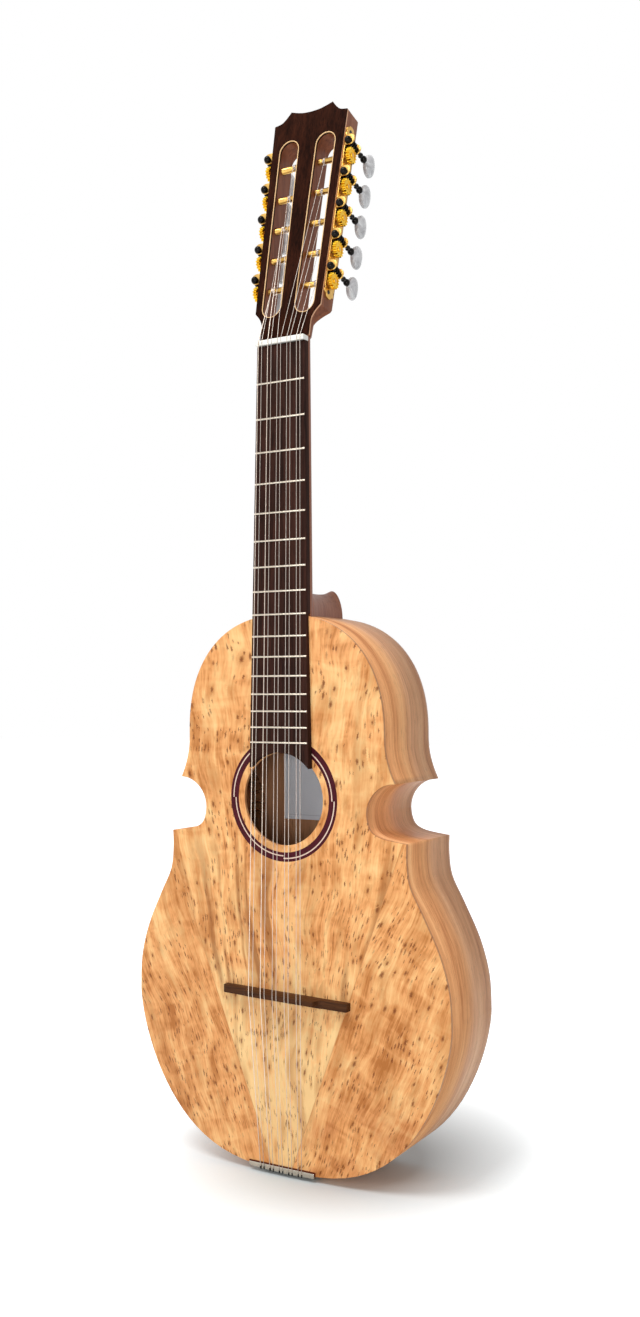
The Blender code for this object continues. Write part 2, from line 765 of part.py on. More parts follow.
def fretboard_outline():
    """The board seen from the front: tapered sides and an end cut to the soundhole's circle."""
    half = fretboard_half(hole_z + board_end_radius * 0.66)
    reach = math.asin(min(half / board_end_radius, 0.95))
    turns = [reach * step / 5 for step in range(-5, 6)]
    end = [(board_end_radius * math.sin(a), hole_z + board_end_radius * math.cos(a)) for a in turns]
    return [(-fretboard_half_at_nut, -seat_gap / 2), *end, (fretboard_half_at_nut, -seat_gap / 2)]


side_profile = [(0.0, fretboard_top_y(0)), (hole_z, fretboard_top_y(hole_z)), (hole_z, -seat_gap),
                (neck_end_z, -seat_gap), (neck_end_z, board_seat_y(apex_z) - seat_gap),
                (0.0, board_seat_y(0) - seat_gap)]
side_frame = Matrix(((0, 0, 1, 0), (0, 1, 0, 0), (-1, 0, 0, 0), (0, 0, 0, 1)))
fretboard = plate("fretboard", [[(-z, y) for z, y in side_profile]], -40 * mm, 40 * mm, side_frame)
trim = plate("fretboard_trim", [fretboard_outline()], -30 * mm, 30 * mm, body_plane)
boolean(fretboard, trim, "INTERSECT")
baked(fretboard)

crown_right = [(fret_width / 3, -fret_height * 0.8), (fret_width / 2, 0), (fret_width / 2, fret_root)]
crown = [(-x, y) for x, y in reversed(crown_right)] + [(0, -fret_height)] + crown_right
for number in range(1, fret_count + 1):
    z = fret_z(number)
    if z < board_end_middle_z + fret_end_distance:
        break
    half = fretboard_half(z) - fret_end_margin
    wire = plate("fret", [crown], -half, half, Matrix.Translation((0, fretboard_top_y(z), z)) @ side_frame)
    boolean(fretboard, wire, "UNION")
finished(baked(fretboard), "rosewood")

# Nut: a bar with rounded top edges, between the fretboard and the headstock's veneer

nut_low_y = board_seat_y(0) - seat_gap
nut_top_y = fretboard_top_y(0) - nut_height_over_frets
nut = box("nut", (-fretboard_half_at_nut, nut_top_y, seat_gap / 2),
          (fretboard_half_at_nut, nut_low_y, nut_thickness - seat_gap / 2))
rounding = nut.modifiers.new("rounding", "BEVEL")
rounding.width = nut_rounding
rounding.segments = 2
finished(nut, "bone")

# Bridge: a straight floating bar, set at a slant, with a thinner saddle that rises from its middle

# The strings fall towards the tail within the saddle's own thickness, the more the nearer the tail is.
fall_behind_bridge = string_height_at_bridge / (bridge_z - tail_z - tail_lip_height)
saddle_height = (string_height_at_bridge - max(string_radii) - seat_gap
                 - fall_behind_bridge * saddle_thickness)
right_half = [(bridge_half_length, seat_gap),
              (bridge_half_length, bridge_wing_height - bridge_wing_fall),
              (bridge_half_length - 1 * mm, bridge_wing_height),
              (bridge_middle_half + bridge_shoulder, bridge_wing_height + bridge_wing_fall),
              (bridge_middle_half, saddle_height - bridge_shoulder),
              (bridge_middle_half - bridge_shoulder, saddle_height)]
bridge_front = right_half + [(-x, y) for x, y in reversed(right_half)]
bridge_plane = (Matrix.Translation((bridge_shift, 0, bridge_z + bridge_before_strings))
                @ Matrix.Rotation(bridge_slant, 4, "Y") @ Matrix.Rotation(math.pi, 4, "X"))
bridge = plate("bridge", [bridge_front], 0, bridge_thickness, bridge_plane)
ledge_x = bridge_middle_half + 2 * bridge_shoulder
ledge_low, ledge_high = bridge_wing_height + 1.5 * bridge_wing_fall, 2 * string_height_at_bridge
ledge = plate("ledge", [[(-ledge_x, ledge_low), (ledge_x, ledge_low), (ledge_x, ledge_high), (-ledge_x, ledge_high)]],
              saddle_thickness, 2 * bridge_thickness, bridge_plane)
boolean(bridge, ledge, "DIFFERENCE")
finished(baked(bridge), "rosewood")


# Tail plate: a bent strip over the bottom edge, with a lip on the soundboard and a row of pins below

tail_xs = [tail_shift + tail_plate_half * step / 6 for step in range(-6, 7)]
flange_top = [(x, edge_z(x, False) - seat_gap) for x in tail_xs]
flange_low = [(x, z - tail_plate_thickness) for x, z in flange_top]
tailpiece = plate("tailpiece", [flange_top + flange_low[::-1]],
                  -tail_plate_depth, tail_plate_thickness + seat_gap, body_plane)
lip_top = min(z for _, z in flange_top) + tail_lip_height
lip = plate("tail_lip", [[(tail_xs[0], lip_top), *flange_low, (tail_xs[-1], lip_top)]],
            seat_gap, seat_gap + tail_plate_thickness, body_plane)
boolean(tailpiece, lip, "UNION")


def string_x(index, side, pair_gap, course_pitch, middle=0.0):
    """A string's place across the instrument. Index 0 is the outermost, and two neighbours share a course."""
    offset = (course_pitch * 2 + pair_gap / 2, course_pitch * 2 - pair_gap / 2,
              course_pitch + pair_gap / 2, course_pitch - pair_gap / 2, pair_gap / 2)[index]
    return middle + side * offset


for side in (1, -1):
    for index in range(string_count_per_side):
        x = string_x(index, side, pair_gap_at_tail, course_pitch_at_tail, tail_shift)
        low = edge_z(x, False) - seat_gap - tail_plate_thickness
        pin = cylinder("tail_pin", tail_pin_radius, (x, tail_pin_y, low + 0.6 * mm),
                       (x, tail_pin_y, low - tail_pin_length), 8)
        boolean(tailpiece, pin, "UNION")
finished(baked(tailpiece), "nickel")


# Machine plates: one for each side, with a round hole for each roller and two tabs that carry each worm

worm_offset = gear_pitch_radius + worm_pitch_radius
hole_sides = 8


def machine_plate(name, side):
    """The side plate in the frame of its middle tuner, with x outwards and y towards the headstock's tip."""
    middle = (string_count_per_side - 1) // 2
    frame = tuner_frame(side, middle)
    span = roller_pitch / math.cos(edge_lean)
    low = -middle * span - plate_low_margin
    high = (string_count_per_side - 1 - middle) * span + worm_offset + plate_high_margin
    half = plate_width / 2
    round_end = [(0.55, 0.0), (0.62, 0.30), (0.92, 0.48), (1.0, 0.85)]
    scallop = half * 1.25
    top = [(half * w, high - scallop * d) for w, d in round_end]
    bottom = [(half * w, low + scallop * d) for w, d in round_end]
    right = bottom + top[::-1]
    outline = right + [(-z, y) for z, y in right[::-1]]
    lay = Matrix(((0, 0, 1, 0), (0, 1, 0, 0), (-1, 0, 0, 0), (0, 0, 0, 1)))
    holes = [circle(roller_radius + shaft_gap, (0, (i - middle) * span), hole_sides)
             for i in range(string_count_per_side)]
    obj = plate(name, [outline, *holes], seat_gap, seat_gap + plate_thickness, frame @ lay)
    tab_root = seat_gap + 0.2 * mm
    for i in range(string_count_per_side):
        y = (i - middle) * span + worm_offset
        tab = [(tab_root, y - bearing_half_width)]
        tab += [(gear_standoff + bearing_half_width * math.cos(a), y + bearing_half_width * math.sin(a))
                for a in (math.radians(30 * step) for step in range(-3, 4))]
        tab += [(tab_root, y + bearing_half_width)]
        bore = circle(worm_shaft_radius + shaft_gap, (gear_standoff, y), hole_sides)
        for depth in (bearing_front_depth, bearing_rear_depth):
            z_out = side * (roller_depth - depth)
            z_in = z_out - side * bearing_thickness
            ear = plate("bearing_tab", [tab, bore], min(z_out, z_in), max(z_out, z_in), frame)
            boolean(obj, ear, "UNION")
    return finished(baked(obj), "gold")


machine_plate("machine_plate_left", -1)
machine_plate("machine_plate_right", 1)


# Tuners: a roller with its gear, turned by a worm whose button stands behind the headstock

def gear_mesh():
    """A spur gear about its own z axis, with a gap between teeth at +Y and a hole for the roller's spigot."""
    tip = gear_pitch_radius + gear_addendum
    root = gear_pitch_radius - gear_dedendum
    step = 2 * math.pi / gear_teeth
    outline = []
    for tooth in range(gear_teeth):
        middle = math.pi / 2 + step * (tooth + 0.5)
        for radius, share in ((root, -0.36), (tip, -0.11), (tip, 0.11)):
            turn = middle + step * share
            outline.append((radius * math.cos(turn), radius * math.sin(turn)))
    bore = circle(roller_spigot_radius + seat_gap, (0, 0), 8)
    return plate("gear_blank", [outline, bore], -gear_thickness / 2, gear_thickness / 2)


def roller_mesh(index):
    """A roller about its own z axis, which points outwards: pin, waisted body, spigot for the gear."""
    inner_reach = roller_inner_reach(index)
    waist_top = lane(index) + roller_waist_length / 2
    waist_bottom = lane(index) - roller_waist_length / 2
    shoulder = -inner_reach + roller_pin_length + seat_gap
    spigot_end = gear_standoff + gear_thickness / 2 + 0.6 * mm
    profile = [(0, spigot_end), (roller_spigot_radius, spigot_end),
               (roller_spigot_radius, gear_standoff - gear_thickness / 2 - seat_gap),
               (roller_radius, gear_standoff - gear_thickness / 2 - seat_gap),
               (roller_radius, waist_top + 0.8 * mm), (roller_waist_radius, waist_top),
               (roller_waist_radius, waist_bottom), (roller_radius, waist_bottom - 0.8 * mm),
               (roller_radius, shoulder), (roller_pin_radius, shoulder),
               (roller_pin_radius, -inner_reach), (0, -inner_reach)]
    return turned("roller_blank", profile, 8)


def worm_mesh():
    """A worm about its own z axis, which points out of the headstock's face, level with the roller at 0."""
    front = roller_depth - worm_ball_depth
    ball = [(worm_ball_radius * math.sin(a), front - worm_ball_radius + worm_ball_radius * math.cos(a))
            for a in (math.radians(d) for d in (35, 70, 105, 140))]
    ball_low = roller_depth - bearing_front_depth + seat_gap
    core_top = roller_depth - bearing_front_depth - bearing_thickness - seat_gap
    core_low = roller_depth - bearing_rear_depth + seat_gap
    collar = roller_depth - worm_collar_depth
    button_top = roller_depth - button_depth + button_size[2] / 2
    profile = [(0, front)] + [(r, z) for r, z in ball if z > ball_low + 0.2 * mm]
    profile += [(worm_shaft_radius, ball_low), (worm_shaft_radius, core_top),
                (worm_core_radius, core_top - worm_shoulder), (worm_core_radius, core_low + worm_shoulder),
                (worm_shaft_radius, core_low), (worm_shaft_radius, collar + worm_collar_radius * 0.9),
                (worm_collar_radius, collar + 1 * mm), (worm_collar_radius, collar - 1 * mm),
                (worm_shaft_radius, collar - worm_collar_radius * 0.9),
                (worm_shaft_radius, button_top - 3 * mm), (0, button_top - 3 * mm)]
    obj = turned("worm_blank", profile, 6)
    pitch = 2 * math.pi * gear_pitch_radius / gear_teeth
    helix_radius = worm_core_radius + 0.75 * worm_thread_radius
    points = []
    steps = round(worm_turns * thread_points_per_turn)
    for step in range(steps + 1):
        turns = (step - steps / 2) / thread_points_per_turn
        turn = 2 * math.pi * turns
        points.append((helix_radius * math.sin(turn), -helix_radius * math.cos(turn), pitch * turns))
    thread = tube("worm_thread", points, worm_thread_radius, rings=0)
    boolean(obj, thread, "UNION")
    bm = bmesh.new()
    bmesh.ops.create_uvsphere(bm, u_segments=8, v_segments=6, radius=0.5)
    bmesh.ops.scale(bm, vec=button_size, verts=bm.verts)
    bmesh.ops.translate(bm, vec=(0, 0, roller_depth - button_depth), verts=bm.verts)
    button = mesh_object("button_blank", bm)
    boolean(obj, button, "UNION")
    return baked(obj)


gear_blank = as_cutter(gear_mesh())
worm_blank = as_cutter(worm_mesh())


def placed_copy(name, blank, matrix, material_name):
    """A part that shares a blank's mesh, at its own place."""
    obj = bpy.data.objects.new(name, blank.data)
    parts.objects.link(obj)
    obj.matrix_world = matrix
    return finished(obj, material_name)


outwards = Matrix.Rotation(math.pi / 2, 4, "Y")
for side, side_name in ((1, "right"), (-1, "left")):
    for index in range(string_count_per_side):
        frame = tuner_frame(side, index)
        tag = f"{side_name}_{index + 1}"
        roller = roller_mesh(index)
        roller.name = "roller_" + tag
        roller.matrix_world = frame @ outwards
        finished(roller, "gold")
        # The gap at the gear's own +Y still faces the worm when the gear's axis is laid outwards.
        placed_copy("gear_" + tag, gear_blank,
                    frame @ Matrix.Translation((gear_standoff, 0, 0)) @ outwards, "gold")
        upright = Matrix.Identity(4) if side > 0 else Matrix.Rotation(math.pi, 4, "Y")
        placed_copy("worm_" + tag, worm_blank,
                    frame @ Matrix.Translation((gear_standoff, worm_offset, 0)) @ upright, "black_metal")


# Strings: each an unbroken wire from its tail pin over the bridge and the nut to two turns on its roller

def string_route(side, index, radius):
    """The points of one string, from its tail pin to the end of its winding, as the instrument is drawn."""
    tail_x = string_x(index, side, pair_gap_at_tail, course_pitch_at_tail, tail_shift)
    low_z = edge_z(tail_x, False) - seat_gap - tail_plate_thickness
    clear = seat_gap + radius
    lip_y = -seat_gap - tail_plate_thickness
    beside = tail_x + (tail_pin_radius + clear) * (-1 if index % 2 else 1) * side
    route = [(beside, tail_pin_y + 1.5 * mm, low_z - clear), (beside, tail_pin_y - 2 * mm, low_z - clear),
             (tail_x, 3 * mm, low_z - clear), (tail_x, lip_y + 0.3 * mm, low_z - clear),
             (tail_x, lip_y - 0.8 * clear, low_z - 0.8 * clear), (tail_x, lip_y - clear, low_z + 0.4 * mm),
             (tail_x, lip_y - clear, lip_top - 1 * mm)]
    bridge_x = string_x(index, side, pair_gap_at_bridge, course_pitch_at_bridge)
    route.append((bridge_x, -string_height_at_bridge, bridge_z))
    nut_x = string_x(index, side, pair_gap_at_nut, course_pitch_at_nut)
    route.append((nut_x, nut_top_y - clear, nut_thickness - nut_rounding - 0.3 * mm))
    frame = tuner_frame(side, index)
    face = headstock_frame.inverted()
    turn_radius = roller_waist_radius + clear
    winding = []
    pitch = 2 * radius + winding_spacing
    steps = winding_turns * winding_points_per_turn
    for step in range(steps + 1):
        turn = 2 * math.pi * step / winding_points_per_turn + winding_start_angle
        along = lane(index) + pitch * (steps / 2 - step) / winding_points_per_turn
        local = (along, turn_radius * math.sin(turn), side * turn_radius * math.cos(turn))
        winding.append(tuple(frame @ Vector(local)))
    landing = face @ Vector(winding[0])
    takeoff = face @ Vector(route[-1])
    over_nut = takeoff.lerp(landing, 0.02)
    route.append(tuple(headstock_frame @ over_nut))
    return route + winding


def least_self_gap(points, radius):
    """The least gap between two stretches of a wire that aren't next to each other along it."""
    least = 1.0
    for i in range(len(points) - 1):
        for j in range(i + 4, len(points) - 1):
            middle_i = (Vector(points[i]) + Vector(points[i + 1])) / 2
            middle_j = (Vector(points[j]) + Vector(points[j + 1])) / 2
            least = min(least, (middle_i - middle_j).length - 2 * radius)
    return least


for side, side_name in ((1, "right"), (-1, "left")):
    for index in range(string_count_per_side):
        radius = string_radii[0] if side < 0 and index < 4 and index % 2 == 0 else string_radii[1]
        points = string_route(side, index, radius)
        gap = least_self_gap(points[-winding_turns * winding_points_per_turn:], radius)
        print(f"string_{side_name}_{index + 1}: least gap between its turns {gap / mm:.2f} mm")
        finished(tube(f"string_{side_name}_{index + 1}", points, radius), "string")


# The yoke's empty carries every part, so that the finished instrument hangs from its own origin.
yoke = bpy.data.objects.new("yoke", None)
bpy.context.scene.collection.objects.link(yoke)
for obj in [*parts.objects, *cutters.objects]:
    obj.parent = yoke
yoke.location = (0, -yoke_y, -yoke_z)
bpy.context.view_layer.update()
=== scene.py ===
"""The looks of a ten-string cuatro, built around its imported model. Shapes are drawn in millimetres."""
from math import asin, atan, atan2, copysign, cos, hypot, pi, radians, sin, tan

import bmesh
import bpy
from mathutils import Matrix, Vector


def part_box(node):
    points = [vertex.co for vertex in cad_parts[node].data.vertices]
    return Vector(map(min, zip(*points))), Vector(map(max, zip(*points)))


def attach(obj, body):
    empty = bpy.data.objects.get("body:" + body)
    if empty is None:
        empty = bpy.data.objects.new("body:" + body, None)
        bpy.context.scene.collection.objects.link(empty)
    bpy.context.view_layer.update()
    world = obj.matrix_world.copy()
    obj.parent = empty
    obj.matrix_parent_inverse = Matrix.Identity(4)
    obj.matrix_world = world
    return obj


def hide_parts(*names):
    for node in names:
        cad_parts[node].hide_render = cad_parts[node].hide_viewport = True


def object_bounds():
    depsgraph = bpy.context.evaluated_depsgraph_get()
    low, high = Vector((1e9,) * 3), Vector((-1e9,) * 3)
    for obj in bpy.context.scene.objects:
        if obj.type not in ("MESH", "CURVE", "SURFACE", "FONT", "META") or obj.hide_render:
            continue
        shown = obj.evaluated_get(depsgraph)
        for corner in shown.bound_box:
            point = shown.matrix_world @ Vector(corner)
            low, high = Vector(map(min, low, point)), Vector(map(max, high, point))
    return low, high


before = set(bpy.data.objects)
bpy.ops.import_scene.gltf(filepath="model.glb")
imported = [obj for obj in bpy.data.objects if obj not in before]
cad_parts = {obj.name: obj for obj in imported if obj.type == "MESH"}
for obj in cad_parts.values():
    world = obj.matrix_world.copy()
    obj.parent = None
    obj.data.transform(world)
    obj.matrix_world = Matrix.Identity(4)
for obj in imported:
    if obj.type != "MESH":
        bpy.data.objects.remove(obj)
cad_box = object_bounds()
scene = bpy.context.scene
scene.view_settings.view_transform = "Standard"

# The photographer's place: low and to the right of the instrument, which stands upright on a white floor.
# The lens is long enough to keep the neck straight, and is shifted a little instead of being tilted.


def placed(name, data):
    """An object of the scene, from its data."""
    obj = bpy.data.objects.new(name, data)
    scene.collection.objects.link(obj)
    return obj


camera = placed("camera", bpy.data.cameras.new("camera"))
scene.camera = camera
camera.data.sensor_width = 36
camera.data.lens = 33.263
camera.data.shift_x = -0.05089
camera.data.shift_y = 0.13388
to_right = Vector((0.8793049324, 0.4762584679, -0.0008411952))
to_bottom = Vector((0.0536948202, -0.1008901892, -0.9934475505))
ahead = Vector((-0.4732226767, 0.8734981634, -0.1142858556))
stand = Matrix.Translation((0.55341666, -0.86186079, -0.29586522))
camera.matrix_world = stand @ Matrix([to_right, -to_bottom, -ahead]).transposed().to_4x4()

# Soundboard: two bookmatched leaves of golden figured hardwood beside a lighter central wedge, sanded flat and
# lacquered. The outline is sawn to four pointed horns, and its front edge is only just eased.

mm = 0.001
scale_length = 525
apex_z = -scale_length * (1 - 2 ** (-9 / 12))
body_length, body_depth = 471, 80
tail_z = apex_z - body_length
hole_z, hole_radius = apex_z - 150.7, 38.5
board_thickness, back_thickness, rib_thickness = 2.8, 3.0, 2.5
sides = ((1, "right"), (-1, "left"))


def moved(x, y, z):
    return Matrix.Translation((x * mm, y * mm, z * mm))


def turned(angle, axis):
    return Matrix.Rotation(angle, 4, axis)


to_row = moved(0, -21, -18)
facing = turned(pi / 2, "X")
upright = Matrix.Identity(4)


def as_mesh(solid, name="held"):
    mesh = bpy.data.meshes.new(name)
    solid.to_mesh(mesh)
    solid.free()
    return mesh


def shown(name, solid, finish, slot, *stands_for, body="root", sharp=32):
    """A finished piece at the model's own origin, with its material and body and the nodes it stands for. The slot is
    not used.
    """
    solid.transform(to_row)
    obj = placed(name, as_mesh(solid, name))
    obj.data.materials.append(finish)
    obj.data.shade_smooth()
    obj.data.set_sharp_from_angle(angle=radians(sharp))
    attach(obj, body)
    if stands_for:
        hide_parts(*stands_for)
    return obj


def through(knots, per_span):
    """A smooth line through knots, as points."""
    padded = [knots[0], *knots, knots[-1]]
    points = []
    for span in zip(padded, padded[1:], padded[2:], padded[3:]):
        for t in (i / per_span for i in range(per_span)):
            weights = ((-t + 2 * t ** 2 - t ** 3) / 2, (2 - 5 * t ** 2 + 3 * t ** 3) / 2,
                       (t + 4 * t ** 2 - 3 * t ** 3) / 2, (t ** 3 - t ** 2) / 2)
            points.append(tuple(sum(w * v for w, v in zip(weights, values)) for values in zip(*span)))
    return points + [tuple(knots[-1])]


def right_side():
    """The body's right edge as (half width, z), from the heel's seat down to the tail."""
    edge = [(0.0, 0.0), (14.0, 0.0)]
    for turn in map(radians, range(12, 91, 3)):
        wide = 95 * sin(turn) ** (2 / 2.3)
        if wide > 19:
            edge.append((wide, 99 * (1 - cos(turn) ** (2 / 2.3))))
    edge += [(95 + 9.5 * (i / 8) ** 2, 99 + 36 * i / 8) for i in range(1, 9)]
    edge += [(78.7 + 25.8 * (1 - cos(turn)), 160 - 25 * sin(turn)) for turn in map(radians, range(80, -1, -8))]
    lower_horn = [(0.0, 0.0), (0.035, 0.36), (0.14, 0.66), (0.36, 0.84), (0.67, 0.936), (1.0, 1.0)]
    edge += [(78.7 + 36.3 * w, 160 + 22 * d) for w, d in through(lower_horn, 4)[1:]]
    swell = [(0.0, 0.0), (0.0, 0.105), (0.075, 0.235), (0.36, 0.385), (0.73, 0.59), (0.948, 0.795), (1.0, 1.0)]
    edge += [(115 + 40 * w, 182 + 146 * d) for w, d in through(swell, 5)[1:]]
    edge += [(155 * cos(turn) ** (2 / 2.86), 328 + 143 * sin(turn) ** (2 / 1.6))
             for turn in map(radians, range(4, 88, 4))]
    return [(wide, apex_z - down) for wide, down in [*edge, (0.0, body_length)]]


right_edge = right_side()
body_outline = right_edge + [(-x, z) for x, z in reversed(right_edge[1:-1])]


def around(start, end, steps):
    """The cosine and the sine of angles in even steps."""
    return [(cos(a), sin(a)) for a in (start + (end - start) * i / steps for i in range(steps + 1))]


def ring_points(radius, centre, count):
    return [(centre[0] + radius * c, centre[1] + radius * s) for c, s in around(0, 2 * pi, count)[:-1]]


def oblong(left, low, right, high):
    return [(left, low), (right, low), (right, high), (left, high)]


def looped(solid, points, closed=True):
    """Edges through points, and back to the first one."""
    corners = [solid.verts.new([v * mm for v in point]) for point in points]
    return [solid.edges.new(pair) for pair in zip(corners, corners[1:] + corners[:closed])]


def outward(solid):
    """The solid with its faces turned outwards."""
    bmesh.ops.recalc_face_normals(solid, faces=solid.faces)
    return solid


def drawn_out(solid, made, way):
    """Moves the corners that an extrusion has just made."""
    corners = [item for item in made["geom"] if isinstance(item, bmesh.types.BMVert)]
    bmesh.ops.translate(solid, verts=corners, vec=[v * mm for v in way])


def rim_rounded(solid, faces, radius):
    """Rounds the rim of a flat face, which starts one radius low and is raised in three steps."""
    out = faces[0].normal.copy()
    for wide, high in ((0.13, 0.5), (0.37, 0.37), (0.5, 0.13)):
        bmesh.ops.inset_region(solid, faces=faces, thickness=radius * mm * wide, use_even_offset=True,
                               use_boundary=True)
        corners = {v for face in faces for v in face.verts}
        bmesh.ops.translate(solid, verts=list(corners), vec=out * (radius * mm) * high)


def slab(outlines, low, high, matrix=facing, top=0.0, bottom=0.0):
    """A flat piece sawn to its edge, the first outline, and its holes, the rest, with its two rims rounded."""
    solid = bmesh.new()
    for outline in outlines:
        looped(solid, [(x, y, low + bottom) for x, y in outline])
    if len(outlines) == 1:
        bmesh.ops.contextual_create(solid, geom=solid.edges)
    else:
        bmesh.ops.triangle_fill(solid, use_beauty=True, edges=solid.edges, normal=(0, 0, 1))
    drawn_out(solid, bmesh.ops.extrude_face_region(solid, geom=solid.faces[:]), (0, 0, high - top - low - bottom))
    outward(solid)
    for way, radius in ((1, top), (-1, bottom)):
        if radius:
            rim_rounded(solid, [face for face in solid.faces if face.normal.z * way > 0.99], radius)
    solid.transform(matrix)
    return solid


def carved(solid, *tools, operation="DIFFERENCE"):
    """The solid cut by tools in turn."""
    for tool in tools:
        work, cutter = placed("work", as_mesh(solid)), placed("cutter", as_mesh(tool))
        modifier = work.modifiers.new("carve", "BOOLEAN")
        modifier.operation = operation
        modifier.object = cutter
        modifier.solver = "EXACT"
        bpy.context.view_layer.update()
        solid = bmesh.new()
        solid.from_object(work, bpy.context.evaluated_depsgraph_get())
        for obj in (work, cutter):
            mesh = obj.data
            bpy.data.objects.remove(obj)
            bpy.data.meshes.remove(mesh)
    return solid


def fused(solid, tool):
    return carved(solid, tool, operation="UNION")


def merged(solids):
    """Several solids held as one, without joining their surfaces."""
    whole = bmesh.new()
    for solid in solids:
        mesh = as_mesh(solid)
        whole.from_mesh(mesh)
        bpy.data.meshes.remove(mesh)
    return whole


class Field:
    """A value in a shader's tree, reckoned with like a number."""

    def __init__(self, socket):
        self.socket, self.tree = socket, socket.id_data

    def __add__(self, other):
        return maths("ADD", self, other)

    def __sub__(self, other):
        return maths("SUBTRACT", self, other)

    def __rsub__(self, other):
        return maths("SUBTRACT", other, self)

    def __mul__(self, other):
        return maths("MULTIPLY", self, other)

    def __truediv__(self, other):
        return maths("DIVIDE", self, other)

    def __rtruediv__(self, other):
        return maths("DIVIDE", other, self)

    def __abs__(self):
        return maths("ABSOLUTE", self)


def added(tree, kind, values=(), output=0, **settings):
    """One output of a new node, with its settings, and its inputs set or linked by name or number."""
    node = tree.nodes.new("ShaderNode" + kind)
    for setting, value in settings.items():
        setattr(node, setting, value)
    for socket, value in dict(values).items():
        if isinstance(value, Field):
            tree.links.new(value.socket, node.inputs[socket])
        else:
            node.inputs[socket].default_value = value
    return Field(node.outputs[output])


def maths(operation, *values, clamp=False):
    tree = next(value.tree for value in values if isinstance(value, Field))
    return added(tree, "Math", enumerate(values), operation=operation, use_clamp=clamp)


def vectors(operation, *values, output=0):
    return added(values[0].tree, "VectorMath", enumerate(values), output, operation=operation)


def outputs(field):
    """All the outputs of a value's node."""
    return [Field(socket) for socket in field.socket.node.outputs]


def split(vector):
    return outputs(added(vector.tree, "SeparateXYZ", {0: vector}))


def joined(*parts):
    return added(parts[0].tree, "CombineXYZ", enumerate(parts))


def linear(red, green, blue):
    """A colour seen as 0 to 255 in three channels, as the shaders count it."""
    return (*(((v / 255 + 0.055) / 1.055) ** 2.4 if v > 10 else v / 3295 for v in (red, green, blue)), 1.0)


def blended(share, first, second):
    """Two colours, seen as 0 to 255 or from the tree, mixed by a share from 0 to 1."""
    first, second = (linear(*c) if isinstance(c, tuple) else c for c in (first, second))
    return added(share.tree, "Mix", {0: share, 6: first, 7: second}, 2, data_type="RGBA")


def ranged(value, low, high, to_low=0.0, to_high=1.0):
    return added(value.tree, "MapRange", enumerate((value, low, high, to_low, to_high)))


def stretched(vector, scale, shift=(0, 0, 0)):
    return added(vector.tree, "Mapping", {"Vector": vector, "Scale": scale, "Location": shift})


def noise(vector, scale, detail=2.0, rough=0.5, distortion=0.0):
    return added(vector.tree, "TexNoise", {"Vector": vector, "Scale": scale, "Detail": detail, "Roughness": rough,
                                           "Distortion": distortion})


def ramped(value, first, last, *between):
    """A colour that follows a value from 0 to 1, past stops of a position and a colour."""
    ramp = added(value.tree, "ValToRGB", {0: value})
    stops = ramp.socket.node.color_ramp.elements
    stops[0].color, stops[1].color = linear(*first), linear(*last)
    for position, shade in between:
        stops.new(position).color = linear(*shade)
    return ramp


def new_finish(name, roughness=0.5, metallic=0.0, coat=0.0, coat_roughness=0.1, specular=0.5):
    """A material with its constants, its shader, and a point's place on the model."""
    made = bpy.data.materials.new(name)
    made.use_nodes = True
    shader = made.node_tree.nodes["Principled BSDF"]
    for socket, value in (("Roughness", roughness), ("Metallic", metallic), ("Coat Weight", coat),
                          ("Coat Roughness", coat_roughness), ("Specular IOR Level", specular)):
        shader.inputs[socket].default_value = value
    return made, shader, added(made.node_tree, "TexCoord", output="Object")


def dressed(shader, colour, gloss=None, height=None, dent=0.0, strength=0.5):
    """Gives a shader its colour and roughness, and a height that dents the surface."""
    bump = height and added(height.tree, "Bump", {"Height": height, "Distance": dent * mm, "Strength": strength})
    for socket, value in (("Base Color", colour), ("Roughness", gloss), ("Normal", bump)):
        if value:
            value.tree.links.new(value.socket, shader.inputs[socket])


golden, shader, place = new_finish("golden figured wood", 0.45, coat=0.1, coat_roughness=0.25, specular=0.2)
x, y, z = split(place)
lean = radians(20.4)
off_middle = x + 0.005
side = abs(off_middle)
past_seam = side - (z + 0.7265) * 0.372
in_leaf = ranged(past_seam, -0.0002, 0.0002)
in_wedge = 1.0 - in_leaf
waver = (noise(place, 9) - 0.5) * 0.03
leaf = maths("SIGN", x) * 0.15
leaning = joined(side * cos(lean) - z * sin(lean) + waver + 0.4, side * sin(lean) + z * cos(lean) + leaf, leaf)
fan = joined(off_middle * (0.5 / (z + 1.02)) + waver, z)
fibres = added(place.tree, "Mix", {0: in_leaf, 4: fan, 5: leaning}, 1, data_type="VECTOR")


def figured(along, scale, detail, rough=0.5, distortion=0.0, shift=0.0, across=1):
    """Clouds drawn out along the fibres."""
    return noise(stretched(fibres, (across, along, 1), (shift, 0, 0)), scale, detail, rough, distortion)


fine = figured(0.06, 700, 3, 0.6)
tone = figured(0.5, 20, 4, 0.6, 0.5) * 0.24 + figured(0.07, 105, 4, 0.65, 0.3) * 0.22
tone = tone + figured(1, 85, 2, 0.5, 0.8, across=0.4) * 0.14 + figured(0.22, 150, 3, 0.65, 0.4) * 0.2 + fine * 0.2
tone = ranged(tone, 0.4, 0.6) + in_leaf * 0.1 + in_wedge * ranged(z, -0.5, -0.6, 0.0, -0.5)
ragged = added(place.tree, "TexNoise", {"Vector": fibres, "Scale": 900, "Detail": 1}, 1)
ragged = vectors("MULTIPLY", vectors("SUBTRACT", ragged, (0.5, 0.5, 0.5)), (0.0016, 0.0016, 0.0016))
ragged = vectors("ADD", fibres, ragged)


